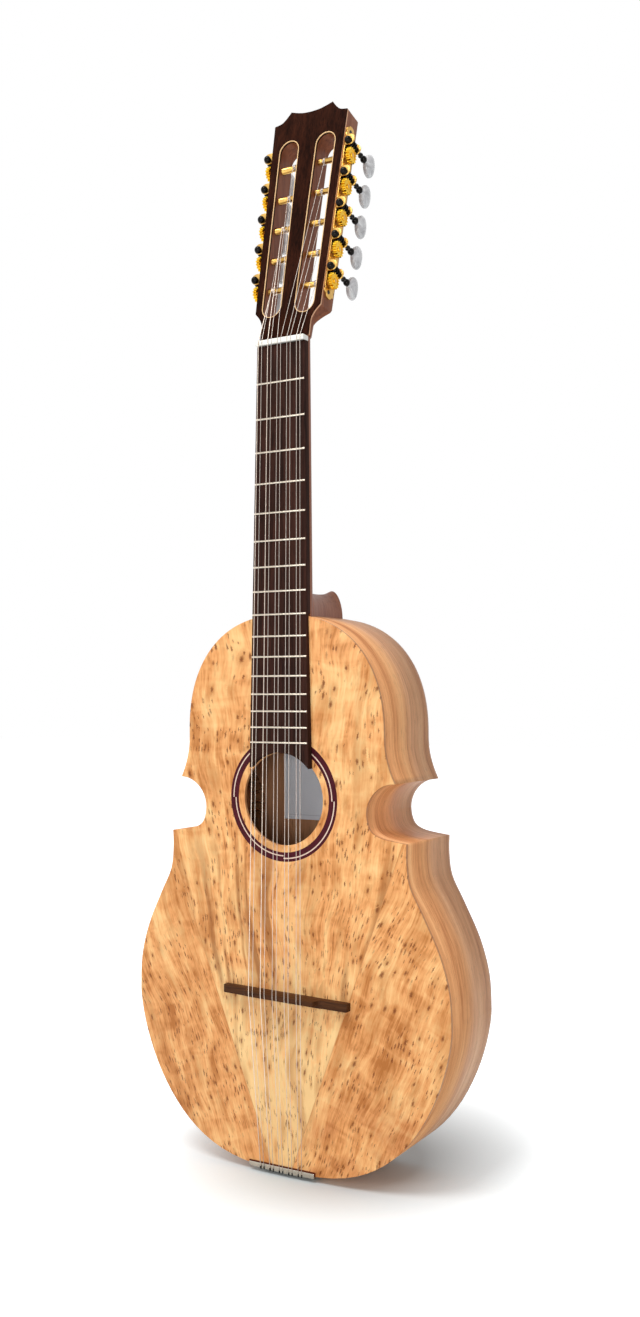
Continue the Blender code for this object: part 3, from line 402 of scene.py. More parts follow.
def flecks(scale, stretch, size, share, shift, soft=1.1):
    """Ragged marks along the fibres: one in each cell of a stretched pattern, in a share of the cells."""
    where = stretched(ragged, (1, stretch, 0), (shift, 0, 0))
    cells = added(where.tree, "TexVoronoi", {"Vector": where, "Scale": scale}, voronoi_dimensions="2D")
    distance, drawn = outputs(cells)[:2]
    chance, girth, _ = split(drawn)
    reach = ranged(girth, 0, 1, size * 0.4, size * 1.3)
    return ranged(distance / reach, 0.4, soft, 1.0, 0.0) * ranged(chance, share, share + 0.02, 1.0, 0.0)


dashes = flecks(430, 0.22, 0.3, 0.5, 0.0) * ranged(figured(0.6, 34, 3, 0.6), 0.42, 0.54)
fleck = maths("MAXIMUM", dashes, flecks(118, 0.42, 0.12, 0.34, 0.3, 1.3))
halo = maths("MAXIMUM", flecks(118, 0.42, 0.24, 0.34, 0.3, 2.0), flecks(66, 0.35, 0.18, 0.5, 0.7, 2.6))
streak = ranged(figured(0.1, 48, 2, 0.5, 0.6, 0.13), 0.55, 0.67)
over_bridge = ranged(z, -0.4, -0.45) * ranged(z, -0.57, -0.53)
dark_band = ranged(figured(0.06, 62, 2, 0.5, 0.5, 0.6), 0.54, 0.62) * over_bridge * in_wedge
smudge = ranged(figured(0.3, 150, 3, 0.6, 0.0, 0.4), 0.55, 0.68)
low_right = ranged(x, 0.0, 0.05) * ranged(z, -0.6, -0.67)
patch = low_right * ranged(noise(fibres, 30, 3), 0.42, 0.6, 0.0, 0.55)
seam = ranged(abs(past_seam), 0.0002, 0.0006, 0.3, 0.0)
sawn_edge = ranged(y, -0.0207, -0.0203, 0.0, 0.8)
colour = ramped(tone, (255, 212, 148), (186, 114, 54), (0.3, (255, 198, 132)), (0.65, (238, 166, 102)))
for share, shade in ((streak * 0.4, (176, 106, 44)), (dark_band * 0.7, (150, 90, 40)),
                     (smudge * 0.28, (168, 100, 38)), (patch, (180, 104, 58)), (halo * 0.42, (176, 104, 38)),
                     (fleck * 0.85, (116, 54, 8)), (seam, (170, 105, 58)), (sawn_edge, (188, 130, 88))):
    colour = blended(share, colour, shade)
dressed(shader, colour, ranged(tone, 0, 1, 0.4, 0.52), fine - fleck * 0.4, 0.02)

ring_inner = hole_radius + 5.8
ring_thickness = 0.9
ring = [ring_points(radius, (0, hole_z), 128) for radius in (ring_inner + 7.9, ring_inner)]
soundboard = slab([body_outline, ring_points(hole_radius, (0, hole_z), 96)], -board_thickness, 0, top=0.4)
soundboard = carved(soundboard, slab(ring, -ring_thickness, 2))
shown("soundboard_figured", soundboard, golden, "soundboard", "soundboard")

# Rosette: a flat ring of dark purple-red wood, let into its groove round the soundhole. Four quarter rings of
# pale holly line are let into it in turn, two nearer its outer edge and two nearer its inner one.

wood_figure = bpy.data.node_groups.new("wood figure", "ShaderNodeTree")
for way, kind, names in (("INPUT", "Vector", ["Vector"]), ("INPUT", "Color", ["Light", "Dark", "Pore Color"]),
                         ("INPUT", "Float", ["Stripe Scale", "Streak Scale", "Stripe Share", "Contrast",
                                             "Pore Scale", "Pore Strength"]),
                         ("OUTPUT", "Color", ["Color"]), ("OUTPUT", "Float", ["Height", "Figure"])):
    for name in names:
        wood_figure.interface.new_socket(name=name, in_out=way, socket_type="NodeSocket" + kind)
vector, light, dark, pore_colour, stripe_scale, streak_scale, stripe_share, contrast, pore_scale, pore_strength = [
    Field(socket) for socket in wood_figure.nodes.new("NodeGroupInput").outputs][:10]
streaks = noise(stretched(vector, (1, 1, 0.035)), streak_scale, 4, 0.65)
stripes = noise(stretched(vector, (1, 1, 0.06)), stripe_scale, 3, 0.55, 0.6)
mix = added(wood_figure, "Mix", {0: stripe_share, 2: streaks, 3: stripes})
figure = maths("ADD", (mix - 0.5) * contrast * 3.0, 0.5, clamp=True)
pore = ranged(noise(stretched(vector, (1, 1, 0.09)), pore_scale, 1), 0.6, 0.72)
ends = wood_figure.nodes.new("NodeGroupOutput").inputs
for name, value in (("Color", blended(pore * pore_strength, blended(figure, light, dark), pore_colour)),
                    ("Height", streaks * 0.5 - pore), ("Figure", figure)):
    wood_figure.links.new(value.socket, ends[name])


def timber(name, light, dark, pore, stripe, streak, share=0.6, contrast=1.0, pore_scale=500, pore_strength=0.5,
           roughness=0.45, coat=0.0, specular=0.4, turn=(0, 0, 0), shift=(0, 0, 0)):
    """A wood whose fibres run along Z once its place has been turned."""
    made, shader, place = new_finish(name, roughness, coat=coat, coat_roughness=0.25, specular=specular)
    laid = added(place.tree, "Mapping", {"Vector": place, "Rotation": turn, "Location": shift})
    colour, height, figure = outputs(added(place.tree, "Group", enumerate(
        (laid, linear(*light), linear(*dark), linear(*pore), stripe, streak, share, contrast, pore_scale,
         pore_strength)), node_tree=wood_figure))
    dressed(shader, colour, ranged(figure, 0, 1, roughness - 0.06, roughness + 0.08), height, 0.05)
    return made


lying = (pi / 2, 0, 0)
purple = timber("purple-red ring wood", (84, 22, 34), (56, 12, 22), (30, 8, 12), 120, 700, contrast=0.8,
                specular=0.12, turn=lying)
holly = timber("pale line wood", (240, 214, 196), (224, 190, 168), (200, 160, 130), 200, 900, contrast=0.6,
               roughness=0.4, coat=0.3, turn=lying)
shown("rosette_ring", slab(ring, -ring_thickness, 0), purple, "rosette_wood", "rosette")


def swept(section, start, axis, angle, steps, rise=0.0):
    """A section carried round an axis from a starting place, with closed ends."""
    solid = bmesh.new()
    face = solid.faces.new([solid.verts.new([v * mm for v in point]) for point in section])
    solid.transform(start)
    bmesh.ops.spin(solid, geom=[*solid.verts, *solid.edges, face], cent=(0, 0, 0), axis=axis,
                   dvec=(0, 0, rise * mm), angle=angle, steps=steps, use_duplicate=False)
    bmesh.ops.holes_fill(solid, edges=solid.edges, sides=4)
    return outward(solid)


for index, (start, radius) in enumerate(((90, 49.3), (180, 47.2), (270, 49.3), (0, 47.2))):
    section = [(radius + x, y, 0) for x, y in ((-0.5, 0.5), (0.5, 0.5), (0.5, -0.02), (-0.5, -0.02))]
    line = swept(section, turned(-radians(start), "Y"), (0, -1, 0), pi / 2, 40)
    line.transform(moved(0, 0, hole_z))
    shown(f"rosette_line_{index + 1}", line, holly, "rosette_wood")

# Ribs: two strips of red-tan wood, bent on a hot pipe to the waist and the horns, so that their stripes run
# round the body. They are glued between the soundboard and the back.

striped, shader, place = new_finish("striped tan wood", 0.45, coat=0.04, coat_roughness=0.3, specular=0.15)
x, y, z = split(place)
bands_at = joined(x * 0.05, y + noise(place, 7) * 0.022, z * 0.05)
fibre = noise(bands_at, 1500, 2, 0.6)
tone = noise(bands_at, 95, 3) * 0.55 + noise(bands_at, 420, 3, 0.6) * 0.3 + fibre * 0.15
tone = ranged(tone, 0.36, 0.64)
colour = ramped(tone, (248, 188, 132), (188, 120, 78), (0.4, (234, 168, 114)), (0.75, (212, 144, 94)))
pores = ranged(noise(bands_at, 2600, 1), 0.62, 0.72)
dressed(shader, blended(pores * 0.45, colour, (124, 72, 46)), ranged(tone, 0, 1, 0.4, 0.5), fibre - pores, 0.03)

back_inside = body_depth - back_thickness
for way, name in sides[::-1]:
    strip = bmesh.new()
    edges = looped(strip, [(way * x, board_thickness, z) for x, z in
                           [(9.3, apex_z), *right_edge[1:-1], (0.0, tail_z)]], closed=False)
    drawn_out(strip, bmesh.ops.extrude_edge_only(strip, edges=edges), (0, back_inside - board_thickness, 0))
    strip.normal_update()
    outward(strip)
    strip.normal_update()
    widest = max(strip.faces, key=lambda face: way * face.calc_center_median().x)
    if widest.normal.x * way < 0:
        bmesh.ops.reverse_faces(strip, faces=strip.faces)
    rib = shown(f"rib_{name}_bent", strip, striped, "sides", f"rib_{name}", sharp=40)
    wall = rib.modifiers.new("wall", "SOLIDIFY")
    wall.thickness = rib_thickness * mm
    wall.offset = -1
    wall.use_even_offset = True

# Back: two bookmatched leaves of the ribs' wood with a thin pale strip down the seam, glued over the ribs and
# trimmed flush, with its edge eased by hand.

back_wood = timber("bookmatched back wood", (214, 160, 118), (160, 104, 74), (112, 66, 42), 26, 260, share=0.7,
                   contrast=1.1, pore_scale=900, pore_strength=0.35, roughness=0.42, coat=0.25)
back = slab([body_outline], -body_depth, -back_inside, bottom=1.0)
shown("back_bookmatched", back, back_wood, "back", "back_plate")
strip = slab([oblong(-1.5, tail_z + 1.2, 1.5, apex_z - 1.2)], -body_depth - 0.03, -body_depth + 0.5)
shown("back_strip", strip, holly, "back")

# Inside the body: spruce blocks at the neck and the tail, braces across both plates with their ends carved thin,
# and kerfed linings, strips sawn almost through so that they bend round the ribs.

crosswise = (0, pi / 2, 0)
spruce = timber("inside spruce", (160, 114, 72), (126, 84, 50), (90, 56, 32), 180, 900, contrast=0.8,
                pore_strength=0.2, roughness=0.75, turn=crosswise)
block_wood = timber("inside block wood", (190, 142, 96), (150, 104, 66), (105, 66, 38), 160, 800, contrast=0.8,
                    pore_strength=0.2, roughness=0.75)
for node in ("neck_block", "tail_block"):
    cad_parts[node].data.materials.clear()
    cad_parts[node].data.materials.append(block_wood)


def half_width(z):
    """Half the body's width at a height."""
    for (wide, top), (next_wide, bottom) in zip(right_edge, right_edge[1:]):
        if bottom <= z <= top and top > bottom:
            return wide + (next_wide - wide) * (top - z) / (top - bottom)
    return 0.0


brace_height, brace_half = 12, 4
for node, below, glued_y, away in (("upper_brace", 92, board_thickness, 1), ("lower_brace", 212, board_thickness, 1),
                                   ("back_brace_upper", 94, back_inside, -1),
                                   ("back_brace_lower", 300, back_inside, -1)):
    z = apex_z - below
    reach = min(half_width(z + brace_half), half_width(z - brace_half)) - rib_thickness - 0.5
    profile = [(reach * far, glued_y + away * brace_height * tall) for far, tall in
               ((1, 0.0), (1, 0.3), (0.93, 0.36), (0.84, 0.72), (0.72, 0.98))]
    bar = slab([profile + [(-x, y) for x, y in reversed(profile)]], z - brace_half, z + brace_half, upright,
               top=1.2, bottom=1.2)
    shown(f"{node}_carved", bar, spruce, "inner_wood", node)

kerf_pitch, block_half = 7, 2.8
upper_horn_z, lower_horn_z = apex_z - 135, apex_z - 182
for way, name in sides[::-1]:
    for where, plate_y, rise in (("front", board_thickness, 1), ("back", back_inside, -1)):
        section = [(0.0, 0.0), (-6, 0.0), (-6, 3 * rise), (-1.8, 12 * rise), (0.0, 12 * rise)]
        blocks = []
        walked = 0.0
        for (x0, z0), (x1, z1) in zip(right_edge[1:], right_edge[2:-1]):
            length = hypot(x1 - x0, z1 - z0)
            inward = Vector((z1 - z0, 0, x0 - x1)).normalized()
            while walked < length:
                x, z = x0 + (x1 - x0) * walked / length, z0 + (z1 - z0) * walked / length
                near_horn = min(abs(z - upper_horn_z), abs(z - lower_horn_z)) < 7 and x > 85
                if x > 34 and not near_horn:
                    inset = inward * (rib_thickness + 0.05)
                    block = slab([section], -block_half, block_half, upright)
                    block.transform(moved(x + inset.x, plate_y, z + inset.z)
                                    @ turned(atan2(inward.z, -inward.x), "Y"))
                    if way < 0:
                        bmesh.ops.scale(block, vec=(-1, 1, 1), verts=block.verts)
                        bmesh.ops.reverse_faces(block, faces=block.faces)
                    blocks.append(block)
                walked += kerf_pitch
            walked -= length
        shown(f"lining_{where}_{name}", merged(blocks), spruce, "inner_wood")

# Label: a sheet of laid paper pasted to the back under the soundhole. It is left blank but for a thin ruled
# border near its edge.

paper, shader, place = new_finish("laid paper", 0.85, specular=0.2)
low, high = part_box("label")
half_sheet = (high - low) / 2
x, _, z = split(vectors("SUBTRACT", place, (low + high) / 2))
from_edge = maths("MINIMUM", half_sheet.x - abs(x), half_sheet.z - abs(z))
ruled = ranged(abs(from_edge - 0.004), 0.0002, 0.0004, 0.3, 0.0)
laid = noise(stretched(place, (0.2, 1, 1)), 1400)
dressed(shader, blended(ruled, blended(laid, (250, 251, 255), (242, 244, 252)), (120, 122, 135)), None, laid, 0.02)
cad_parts["label"].data.materials.clear()
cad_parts["label"].data.materials.append(paper)

# Neck: one piece of mahogany, carved to a round-backed shaft, a tall heel that meets the ribs, and the slotted
# headstock, bent back from the nut. The core of the headstock carries the dark face.

mahogany = timber("mahogany", (166, 98, 60), (114, 60, 36), (76, 38, 22), 55, 420, share=0.5, pore_scale=700,
                  pore_strength=0.45, roughness=0.42, coat=0.06, specular=0.2)
neck_angle, head_angle = radians(1.7), radians(13.3)
setback = 3.6
fretboard_thickness = 5.5
nut_half, nut_thickness = 22.5, 4.2
head_face_y, head_length, head_thickness = 8.1, 198, 18.5
veneer_thickness = 2.0
shoulder_end, shoulder_half, shoulder_start = 25.5, 30.8, 13
top_half, corner_drop = 34.5, 9.5
slot_start, slot_end, slot_width = 21, 172, 17.5
slot_centres = (15.6, 17.4)
roller_depth = 7.4
head_place = moved(0, head_face_y, nut_thickness) @ turned(pi / 2 - head_angle, "X")


def board_top_y(z):
    return setback + z * tan(neck_angle)


def board_half(z):
    return nut_half - z * 0.01816


def seat_y(z):
    """The shaft's front under the fretboard."""
    return board_top_y(z) + fretboard_thickness


def head_behind_y(z):
    """The shaft's front where it runs up behind the headstock's face."""
    return head_face_y + (z - nut_thickness) * tan(head_angle) + 2.8 / cos(head_angle)


def lofted(rings):
    """A solid skinned over closed rings of points."""
    solid = bmesh.new()
    loops = [looped(solid, ring) for ring in rings]
    for lower, upper in zip(loops, loops[1:]):
        bmesh.ops.bridge_loops(solid, edges=lower + upper)
    bmesh.ops.holes_fill(solid, edges=loops[0] + loops[-1], sides=0)
    return outward(solid)


def shaft_ring(half, front_y, depth, z):
    return [(-half, front_y, z), (half, front_y, z),
            *[(half * c, front_y + 0.5 + depth * s, z) for c, s in around(0, pi, 24)]]


foot_z = apex_z - 8
stations = [(board_half(foot_z), seat_y(foot_z), 16.9, foot_z)]
stations += [(board_half(z), seat_y(z), 13.9 + 3.0 * z / apex_z, z) for z in (apex_z * (1 - i / 8) for i in range(8))]
stations += [(nut_half, seat_y(0), 13.9, z) for z in (0.0, 4.2)]
stations += [(half, head_behind_y(z), depth, z) for half, depth, z in
             ((nut_half + 0.2, 12.9, 4.6), (nut_half + 0.5, 13.6, 11), (nut_half + 0.8, 14.1, 18),
              (nut_half + 2.0, 14.3, 25), (shoulder_half - 5, 14.3, 31))]
neck = lofted([shaft_ring(*station) for station in stations])

heel_knots = [(0.0, 0.0, 2.10), (0.08, 0.07, 1.45), (0.17, 0.22, 1.07), (0.30, 0.44, 0.93), (0.50, 0.68, 0.87),
              (0.70, 0.85, 0.88), (0.85, 0.94, 0.93), (0.94, 0.98, 1.01), (1.0, 1.0, 1.07)]
heel_start = seat_y(apex_z) + 8.3
heel_rings = []
for share, narrowing, tall in through(heel_knots, 3):
    half = 22.0 - 11.0 * narrowing
    y = heel_start + (body_depth - heel_start) * share
    arch = [(half * c, y, apex_z + 1.3 + (22.5 * tall - 1) * s ** (0.7 + 0.4 * share))
            for c, s in around(0, pi, 24)]
    heel_rings.append([(-half, y, foot_z + 0.7), (half, y, foot_z + 0.7), *arch])
neck = fused(neck, lofted(heel_rings))
neck = carved(neck, slab([body_outline], -2 * body_depth, body_depth))


def block(wide, deep, tall, centre):
    """A squared block about its centre."""
    solid = bmesh.new()
    bmesh.ops.create_cube(solid, size=1)
    bmesh.ops.scale(solid, vec=(wide * mm, deep * mm, tall * mm), verts=solid.verts)
    solid.transform(moved(*centre))
    return solid


neck = fused(neck, block(18, 52, 17.3, (0, 33.4, apex_z - 5.35)))


def head_outline(start, inset=0.0):
    """The headstock's edge in its own plane: shoulders, straight sides, scooped corners, two peaks on top."""
    half_nut = nut_half + 0.6 - inset
    grow, rise = shoulder_half - half_nut - inset, shoulder_end - shoulder_start
    shoulder = [(0.0, 0.0), (0.03, 0.14), (0.12, 0.30), (0.42, 0.62), (0.78, 0.86), (1.0, 1.0)]
    crest = [(1.0, 9.5), (0.82, 8.3), (0.72, 5.9), (0.63, 2.6), (0.57, 0.0)]
    dip = [(0.57, 0.0), (0.38, 2.1), (0.2, 3.4), (0.0, 3.8)]
    right = [(half_nut, start)]
    right += [(half_nut + grow * w, shoulder_start + rise * d) for w, d in through(shoulder, 3)]
    right += [((top_half - inset) * w, head_length - inset - drop)
              for w, drop in through(crest, 3) + through(dip, 3)[1:]]
    return right + [(-x, s) for x, s in reversed(right[:-1])]


def slot_edge(way, grow=0.0):
    """A slot's edge: straight sides that lean with the headstock, and round ends."""
    radius = slot_width / 2 + grow
    low = (way * slot_centres[0], slot_start + slot_width / 2)
    high = (way * slot_centres[1], slot_end - slot_width / 2)
    lean = atan2(high[1] - low[1], high[0] - low[0]) - pi / 2
    return [(x + radius * c, y + radius * s) for (x, y), start in ((low, pi + lean), (high, lean))
            for c, s in around(start, start + pi, 20)]


core = slab([head_outline(0.3)], -head_thickness, -veneer_thickness, head_place, bottom=1.2)
behind = -head_thickness - 1
across_head = head_place @ Matrix(((0, 0, 1, 0), (1, 0, 0, 0), (0, 1, 0, 0), (0, 0, 0, 1)))
core = carved(core, slab([[(8, -4), (31, behind), (-20, behind), (-20, -4)]], -60, 60, across_head))
neck = fused(neck, core)
neck = carved(neck, *[slab([slot_edge(way)], -3 * head_thickness, head_thickness, head_place) for way in (1, -1)])

straight = head_length - corner_drop - shoulder_end
edge_lean = atan((top_half - shoulder_half) / straight)
pin_reach = 3.5


def head_half(s):
    return shoulder_half + (top_half - shoulder_half) * (s - shoulder_end) / straight


def roller_s(index):
    return 47 + 26.3 * index


def tuner_place(way, index):
    """One tuner's frame: origin on the headstock's edge at the roller's axis, x outwards along that axis."""
    s = roller_s(index)
    return (head_place @ moved(way * head_half(s), s, -roller_depth) @ turned(-way * edge_lean, "Z")
            @ turned(0 if way > 0 else pi, "Y"))


def roller_reach(index):
    """How far inwards from the headstock's edge a roller's pin ends."""
    s = roller_s(index)
    share = (s - slot_start) / (slot_end - slot_start)
    slot_centre = slot_centres[0] + (slot_centres[1] - slot_centres[0]) * share
    return head_half(s) - (slot_centre - slot_width / 2) + pin_reach


def rod(radius, start, end, count=24):
    """A round bar from start to end."""
    start, end = (Vector([v * mm for v in point]) for point in (start, end))
    bar = bmesh.new()
    bmesh.ops.create_cone(bar, cap_ends=True, segments=count, radius1=radius * mm, radius2=radius * mm,
                          depth=(end - start).length)
    turn = Vector((0, 0, 1)).rotation_difference(end - start).to_matrix().to_4x4()
    bar.transform(Matrix.Translation((start + end) / 2) @ turn)
    return bar


courses = [(way, name, index) for way, name in sides for index in range(5)]
bores = []
for way, name, index in courses:
    for radius, start, end in ((3.1, -17.5, 2), (2.0, -roller_reach(index) - 0.3, -17.4)):
        bores.append(rod(radius, (start, 0, 0), (end, 0, 0), 20))
        bores[-1].transform(tuner_place(way, index))
neck = carved(neck, *bores)
open_edges = [edge for edge in neck.edges if edge.is_boundary]
if open_edges:
    long_edge = max(open_edges, key=lambda edge: edge.calc_length())
    left, right = sorted(long_edge.verts, key=lambda vert: vert.co.x)
    corners = {round(vert.co.x, 6) for edge in open_edges for vert in edge.verts if vert not in (left, right)}
    for x in sorted(corners):
        _, left = bmesh.utils.edge_split(long_edge, left, (x - left.co.x) / (right.co.x - left.co.x))
    bmesh.ops.remove_doubles(neck, verts=neck.verts, dist=2e-6)
shown("neck_carved", neck, mahogany, "neck_wood", "neck", sharp=38)

# Headstock face: a leaf of dark rosewood over a thin pale underlay, whose edge shows as a line down the side.
# A line of the same pale wood is let into the face round each slot.

rosewood = timber("dark rosewood", (58, 27, 15), (25, 10, 6), (11, 5, 3), 150, 800, share=0.55, contrast=1.3,
                  pore_scale=1100, roughness=0.6, specular=0.02)
salmon = timber("salmon underlay wood", (246, 192, 150), (228, 166, 124), (190, 130, 94), 200, 900, contrast=0.6,
                roughness=0.4)
cream = timber("cream line wood", (246, 206, 150), (226, 178, 120), (190, 140, 90), 200, 900, contrast=0.6,
               roughness=0.35, coat=0.3)
line_gap, line_depth = 0.65, 0.6
underlay_top = 1.3 - veneer_thickness
rim = slab([head_outline(0.8, -2), head_outline(3, 3)], -veneer_thickness - 1, underlay_top, head_place)
face = slab([head_outline(0.8), slot_edge(1), slot_edge(-1)], -veneer_thickness, 0, head_place, top=0.2)
face = carved(face, rim)
for way, name in sides:
    face = carved(face, slab([slot_edge(way, line_gap)], -line_depth, 2, head_place))
    border = slab([slot_edge(way, line_gap), slot_edge(way)], -line_depth, 0.02, head_place)
    shown(f"slot_line_{name}", border, cream, "headplate")
shown("headstock_face", face, rosewood, "headplate", "head_veneer")
underlay = slab([head_outline(0.8, -0.05), head_outline(3, 3)], -veneer_thickness, underlay_top, head_place)
shown("headstock_underlay", underlay, salmon, "headplate")

# Fretboard: a tapered rosewood board, glued to the neck and the soundboard and cut round at the soundhole, with
# sixteen nickel frets pressed into sawn slots and their ends filed to a bead.

board_wood = timber("fretboard rosewood", (66, 38, 30), (32, 18, 14), (16, 9, 8), 170, 850, share=0.5,
                    contrast=1.2, pore_scale=1200, roughness=0.55, specular=0.06, shift=(0.31, 0, 0))
end_radius = hole_radius + 0.2
reach = asin(board_half(hole_z + end_radius * 0.66) / end_radius)
round_end = [(end_radius * s, hole_z + end_radius * c) for c, s in around(-reach, reach, 32)]
rim_radius = 0.4
side_view = [(0.0, board_top_y(0) + rim_radius), (-hole_z, board_top_y(hole_z) + rim_radius), (-hole_z, 0.0),
             (-apex_z, 0.0), (-apex_z, seat_y(apex_z)), (0.0, seat_y(0))]
sideways = Matrix(((0, 0, 1, 0), (0, 1, 0, 0), (-1, 0, 0, 0), (0, 0, 0, 1)))
trim = slab([[(-nut_half, -0.1), *round_end, (nut_half, -0.1)]], -30, 30)
fretboard = carved(slab([side_view], -40, 40, sideways), trim, operation="INTERSECT")
fretboard.normal_update()
rim_rounded(fretboard, [face for face in fretboard.faces if face.normal.y < -0.9], rim_radius)
shown("fretboard_tapered", fretboard, board_wood, "fretboard", "fretboard")


def metal(name, light, dark, roughness):
    """Polished metal with a faint cloud and hairlines in its gloss."""
    made, shader, place = new_finish(name, roughness, metallic=1.0)
    cloud = noise(place, 120, 3)
    hair = noise(stretched(place, (1, 1, 0.1)), 900)
    gloss = ranged(cloud * 0.6 + hair * 0.4, 0.3, 0.7, roughness - 0.06, roughness + 0.06)
    dressed(shader, blended(cloud, light, dark), gloss, hair, 0.01, 0.3)
    return made


nickel = metal("nickel silver", (232, 222, 206), (206, 192, 174), 0.28)
crown_half, crown_height = 0.8, 0.85
crown = [(crown_half * c, -crown_height * s) for c, s in around(0, pi, 12)]
crown += [(-crown_half, 0.1), (-0.3, 0.1), (-0.3, 1.6), (0.3, 1.6), (0.3, 0.1), (crown_half, 0.1)]
for number in range(1, 17):
    z = -scale_length * (1 - 2 ** (-number / 12))
    if z < hole_z + end_radius + 4:
        break
    half = board_half(z) - 0.6
    wire = slab([crown], -half, half, moved(0, board_top_y(z), z) @ sideways, top=0.25, bottom=0.25)
    shown(f"fret_{number:02d}", wire, nickel, "nickel", sharp=45)

# Nut: a bar of bleached bone between the fretboard and the headstock's face, with its upper edges rounded and a
# filed notch for each string.

bone, shader, place = new_finish("bleached bone", 0.32, coat=0.2)
speck = noise(stretched(place, (0.1, 1, 1)), 1200)
ivory = blended(ranged(noise(place, 160, 4), 0.35, 0.65), (255, 254, 250), (246, 242, 230))
dressed(shader, blended(ranged(speck, 0.6, 0.8, 0.0, 0.15), ivory, (222, 208, 180)), None, speck, 0.01, 0.4)

wound_radius, plain_radius = 0.35, 0.22
tail_x = -5
at_nut, at_bridge, at_tail = (3.2, 9.0), (3.9, 11.85), (3.4, 9.6, tail_x)


def string_radius(way, index):
    """The thicker strings of the two lowest pairs, on the left, are overspun."""
    return wound_radius if way < 0 and index in (0, 2) else plain_radius


def string_x(way, index, pair_gap, pitch, middle=0.0):
    """A string's place across the instrument, outermost first."""
    return middle + way * (pitch * (2, 2, 1, 1, 0)[index] + pair_gap / 2 * (1, -1, 1, -1, 1)[index])


def notched(solid, spread, depth_y, low, high, radius=None):
    """The solid with a round notch under each string."""
    notches = []
    for way, name, index in courses:
        x = string_x(way, index, *spread)
        notches.append(rod(radius or string_radius(way, index) + 0.12, (x, depth_y, low), (x, depth_y, high), 12))
    return carved(solid, merged(notches))


nut_top_y = board_top_y(0) - 2.0
nut = slab([oblong(-nut_half, nut_top_y, nut_half, seat_y(0))], 0.0, nut_thickness, upright, top=0.8, bottom=0.5)
nut = notched(nut, at_nut, nut_top_y - 0.1, -1, 6)
shown("nut_notched", nut, bone, "bone", "nut", sharp=40)

# Bridge: a floating bar of dark rosewood, held down only by the strings and set at a slight slant. A thinner
# saddle rises from its middle, flush with its upper face, and is notched for the strings.

bridge_wood = timber("bridge rosewood", (88, 52, 27), (50, 27, 13), (26, 13, 7), 120, 700, share=0.5, contrast=1.2,
                     pore_scale=1000, roughness=0.5, specular=0.1, turn=crosswise)
bridge_x, bridge_z = 2.4, -scale_length - 2
string_height = 16.6
bridge_half, saddle_half = 61.3, 34.5
wing, bridge_thickness, saddle_thickness = 6.5, 7.0, 4.0
fall = string_height / (bridge_z - tail_z - 5)
saddle = string_height - wound_radius - 0.1 - fall * saddle_thickness
bridge_place = moved(bridge_x, 0, bridge_z + 0.55) @ turned(radians(1.5), "Y") @ turned(pi, "X")
foot = (saddle_half + 3, wing + 0.8)
front = [(bridge_half, 0.0), (bridge_half, wing - 0.8), (bridge_half - 0.8, wing - 0.1), (bridge_half - 2, wing),
         (saddle_half + 8, wing + 0.3), foot]
front += through([foot, (saddle_half + 1.2, wing + 2.6), (saddle_half, saddle - 2.4), (saddle_half - 1, saddle - 0.5),
                  (saddle_half - 3, saddle)], 4)[1:]
bridge = slab([front + [(-x, y) for x, y in reversed(front)]], 0, bridge_thickness, bridge_place, top=0.3, bottom=0.3)
bridge = carved(bridge, slab([oblong(-45, wing + 1, 45, 40)], saddle_thickness, 12, bridge_place))
notch_y = 0.1 + fall * saddle_thickness / 2 - string_height
bridge = notched(bridge, at_bridge, notch_y, bridge_z - 8, bridge_z + 6, radius=0.5)
shown("bridge_floating", bridge, bridge_wood, "bridge_wood", "bridge", sharp=40)

# Tail plate: a strip of bright steel bent over the body's lower edge and screwed to the tail block, with a lip
# on the soundboard, a pad of felt under it, and a row of headed pins that take the strings' loops.

steel = metal("bright steel", (206, 200, 188), (170, 164, 152), 0.25)
dark_steel = metal("blackened steel", (70, 68, 66), (36, 35, 35), 0.3)
felt, shader, place = new_finish("dark red felt", 0.95, specular=0.0)
fuzz = noise(place, 2200, 3)
dressed(shader, blended(fuzz, (104, 50, 34), (70, 32, 22)), None, fuzz, 0.1)


def lower_edge_z(x):
    """The height of the body's lower edge."""
    bout = [(wide, z) for wide, z in right_edge if z < apex_z - 328]
    for (wide, z), (next_wide, next_z) in zip(bout, bout[1:]):
        if min(wide, next_wide) <= abs(x) <= max(wide, next_wide):
            return z + (next_z - z) * (abs(x) - wide) / (next_wide - wide)
    return tail_z


def under_z(x):
    """The plate's lower face."""
    return lower_edge_z(x) - tail_thickness - 0.3


tail_half, tail_thickness, pin_y = 33, 1.2, 11
xs = [tail_x + tail_half * i / 16 for i in range(-16, 17)]
upper = [(x, lower_edge_z(x) - 0.05) for x in xs]
lower = [(x, z - tail_thickness - 0.25) for x, z in upper]
lip_top = min(z for _, z in upper) + 3.6
plate = slab([upper + lower[::-1]], -22, tail_thickness + 0.2, bottom=0.3)
lip = slab([[(xs[0], lip_top), *lower, (xs[-1], lip_top)]], 0.02, tail_thickness + 0.3, top=0.3)
shown("tail_plate_bent", fused(plate, lip), steel, "nickel", "tailpiece", sharp=40)
pad_edge = [(x, z + 1.5) for x, z in [(xs[0] - 0.3, lower[0][1]), *lower[1:-1], (xs[-1] + 0.7, lower[-1][1])]]
pad = slab([[(xs[0] - 0.3, lip_top + 0.9), *pad_edge, (xs[-1] + 0.7, lip_top + 0.9)]], 0.01, 0.8)
shown("tail_pad", pad, felt, "nickel")


